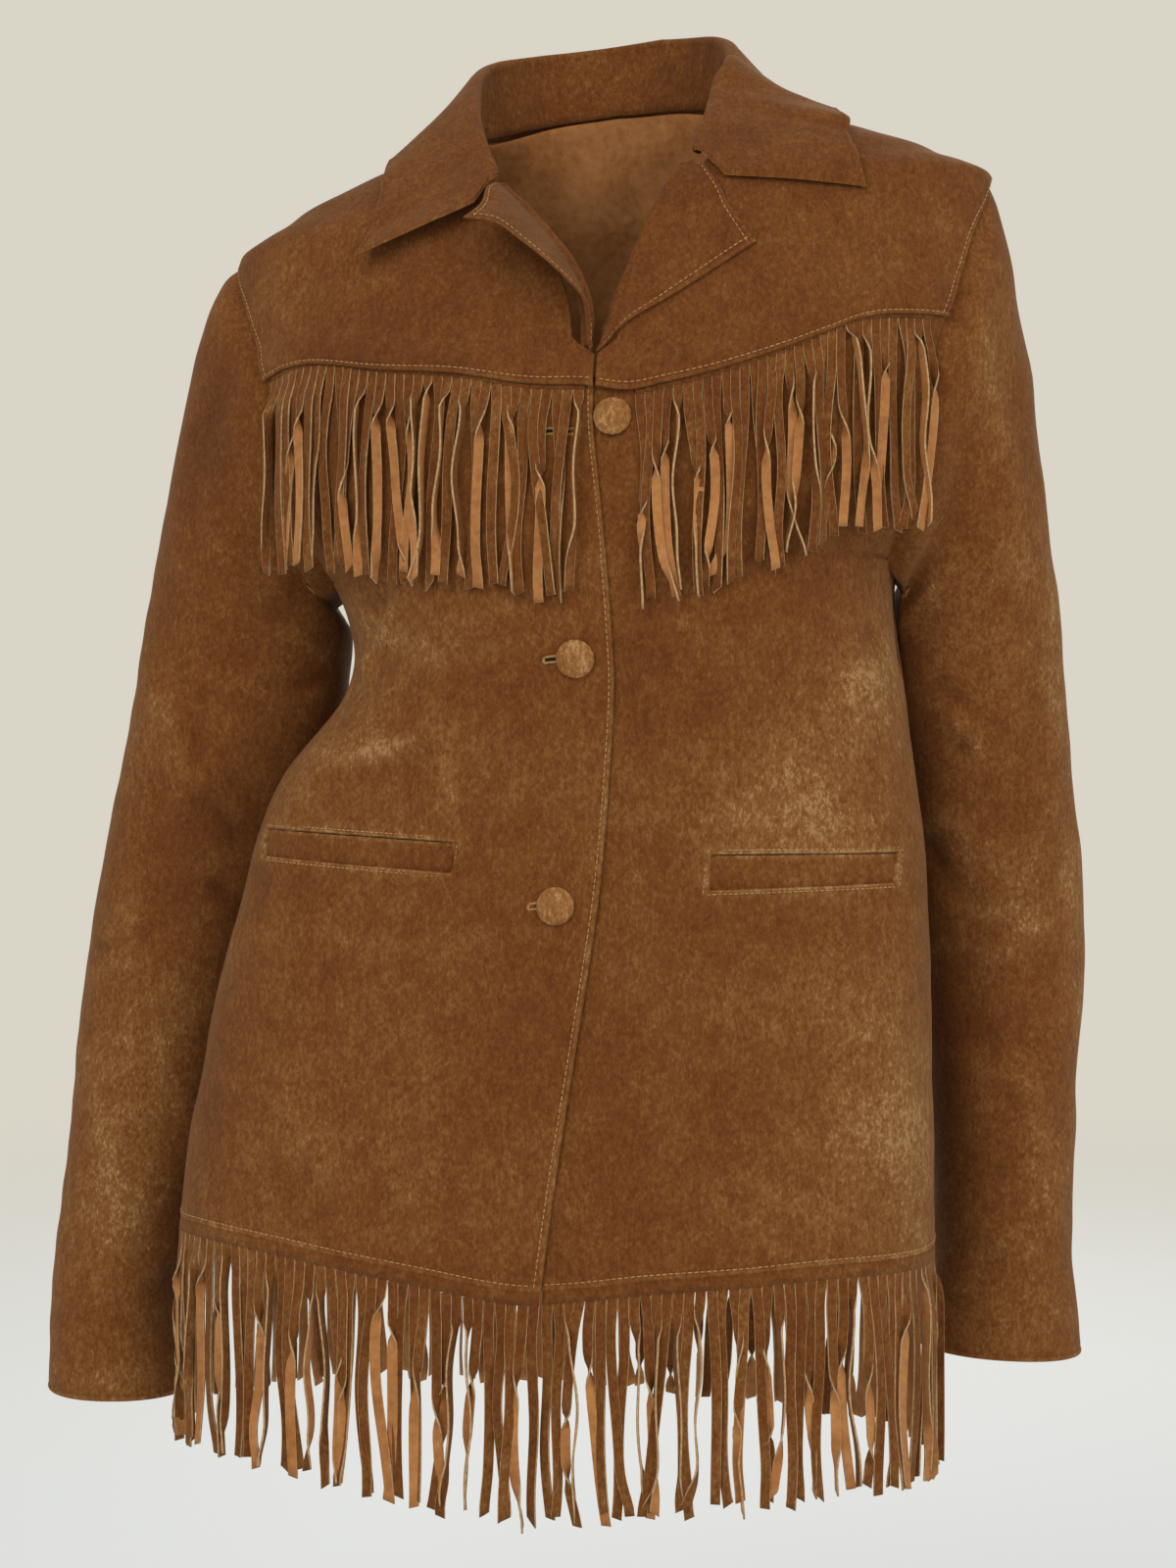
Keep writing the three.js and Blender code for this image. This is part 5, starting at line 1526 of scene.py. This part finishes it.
def yoke_seam_line(low, high):
    """The seam above a yoke's fringe, between two distances from the middle."""
    def read(share):
        u = mix(low, high, share)
        level = yoke_seam(u)[0]
        return front_angle(u, level), level, np.full_like(level, GAP)
    return read


def hem_line(low, high, dip):
    """The hem of a panel between two angles in degrees, sunk where the panel dips."""
    def read(share):
        angle = np.radians(mix(low, high, share))
        level = np.full_like(angle, HEM)
        lift = dip(from_middle(angle, level), level) - STRIP_IN
        return angle, level - GAP + hem_rise(angle, level), lift
    return read


def no_dip(u, level):
    return 0 * u


left_yoke_fringe = fringe("fringe_of_left_yoke", "fringe_yoke_left", yoke_seam_line(29, 188), 33,
                          TUCK - 0.5, 2.5, 101, False)
right_yoke_fringe = fringe("fringe_of_right_yoke", "fringe_yoke_right", yoke_seam_line(-189, 1), 35,
                           TUCK - 0.5, 2.5, 102, False)
left_hem_fringe = fringe("fringe_of_left_hem", "fringe_hem_left", hem_line(1.72, 89, underlap_dip), 43,
                         STRIP_UP, STRIP_HEIGHT, 103, True)
right_hem_fringe = fringe("fringe_of_right_hem", "fringe_hem_right", hem_line(-89, 1.5, no_dip), 45,
                          STRIP_UP, STRIP_HEIGHT, 104, True)
back_hem_fringe = fringe("fringe_of_back_hem", "fringe_hem_back", hem_line(90.5, 269.5, no_dip), 86,
                         STRIP_UP, STRIP_HEIGHT, 105, True)

# Topstitching.
# A lockstitch in light tan polyester thread, sewn through the turned layers about 3 mm inside each edge.
# Each stitch is drawn down into the hide at its ends.

# Share of the pitch that a stitch takes, sides of the thread, its radius, and how far its middle sinks in
STITCH_SHARE = 0.8
STITCH_SIDES = 6
THREAD_RADIUS = 0.38
THREAD_SINK = 0.05
# Sections along a stitch: share of its length, share of its width, and height
STITCH_SECTIONS = [
    (-0.5, 0.35, -0.30), (-0.38, 0.9, 0.02), (0, 1.0, 0.12), (0.38, 0.9, 0.02), (0.5, 0.35, -0.30),
]


def thread_finish(name):
    """Light tan sewing thread."""
    yarn = Finish(name)
    color = yarn.ramp(yarn.noise(300, 2), [(0.3, (0.27, 0.145, 0.055)), (0.7, (0.42, 0.25, 0.115))])
    return yarn.finish(color, yarn.noise(2500, 1), 0.4, 0.0002, 0.7, 0.15)


def sew(line, ups, pitch):
    """The stitches of one line: a ring of points at each section of each stitch."""
    reach = run_along(line)
    count = max(int(reach[-1] / pitch), 1)
    stations = (np.arange(count) + 0.5) * reach[-1] / count

    def read(values, at):
        return np.stack([np.interp(at, reach, values[:, i]) for i in range(3)], -1)

    middle = read(line, stations)
    way = unit(read(line, stations + 0.8) - read(line, stations - 0.8))
    up = unit(read(ups, stations))
    across = unit(np.cross(way, up))
    rings = []
    for share, wide, lift in STITCH_SECTIONS:
        centre = middle + way * share * STITCH_SHARE * pitch + up * (lift - THREAD_SINK)
        turns = np.arange(STITCH_SIDES) * 2 * math.pi / STITCH_SIDES
        spokes = [(across * math.cos(a) + up * math.sin(a)) * THREAD_RADIUS * wide for a in turns]
        rings.append(np.stack([centre + spoke for spoke in spokes], 1))
    return np.stack(rings, 1).reshape(-1, 3)


THREAD = thread_finish("tan_thread")
points = np.concatenate([sew(*line) for line in stitch_lines])
last = (len(STITCH_SECTIONS) - 1) * STITCH_SIDES
caps = [[3, 2, 1, 0], [5, 4, 3, 0]]
caps += [[last, last + 1, last + 2, last + 3], [last, last + 3, last + 4, last + 5]]
one = np.concatenate([grid_faces(len(STITCH_SECTIONS), STITCH_SIDES, wrap=True), caps])
size = last + STITCH_SIDES
quads = copied_faces(one, len(points) // size, size)
stitching = mesh_object("tan_topstitching", points, quads, np.zeros(len(quads)), [THREAD])
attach(stitching, "root")
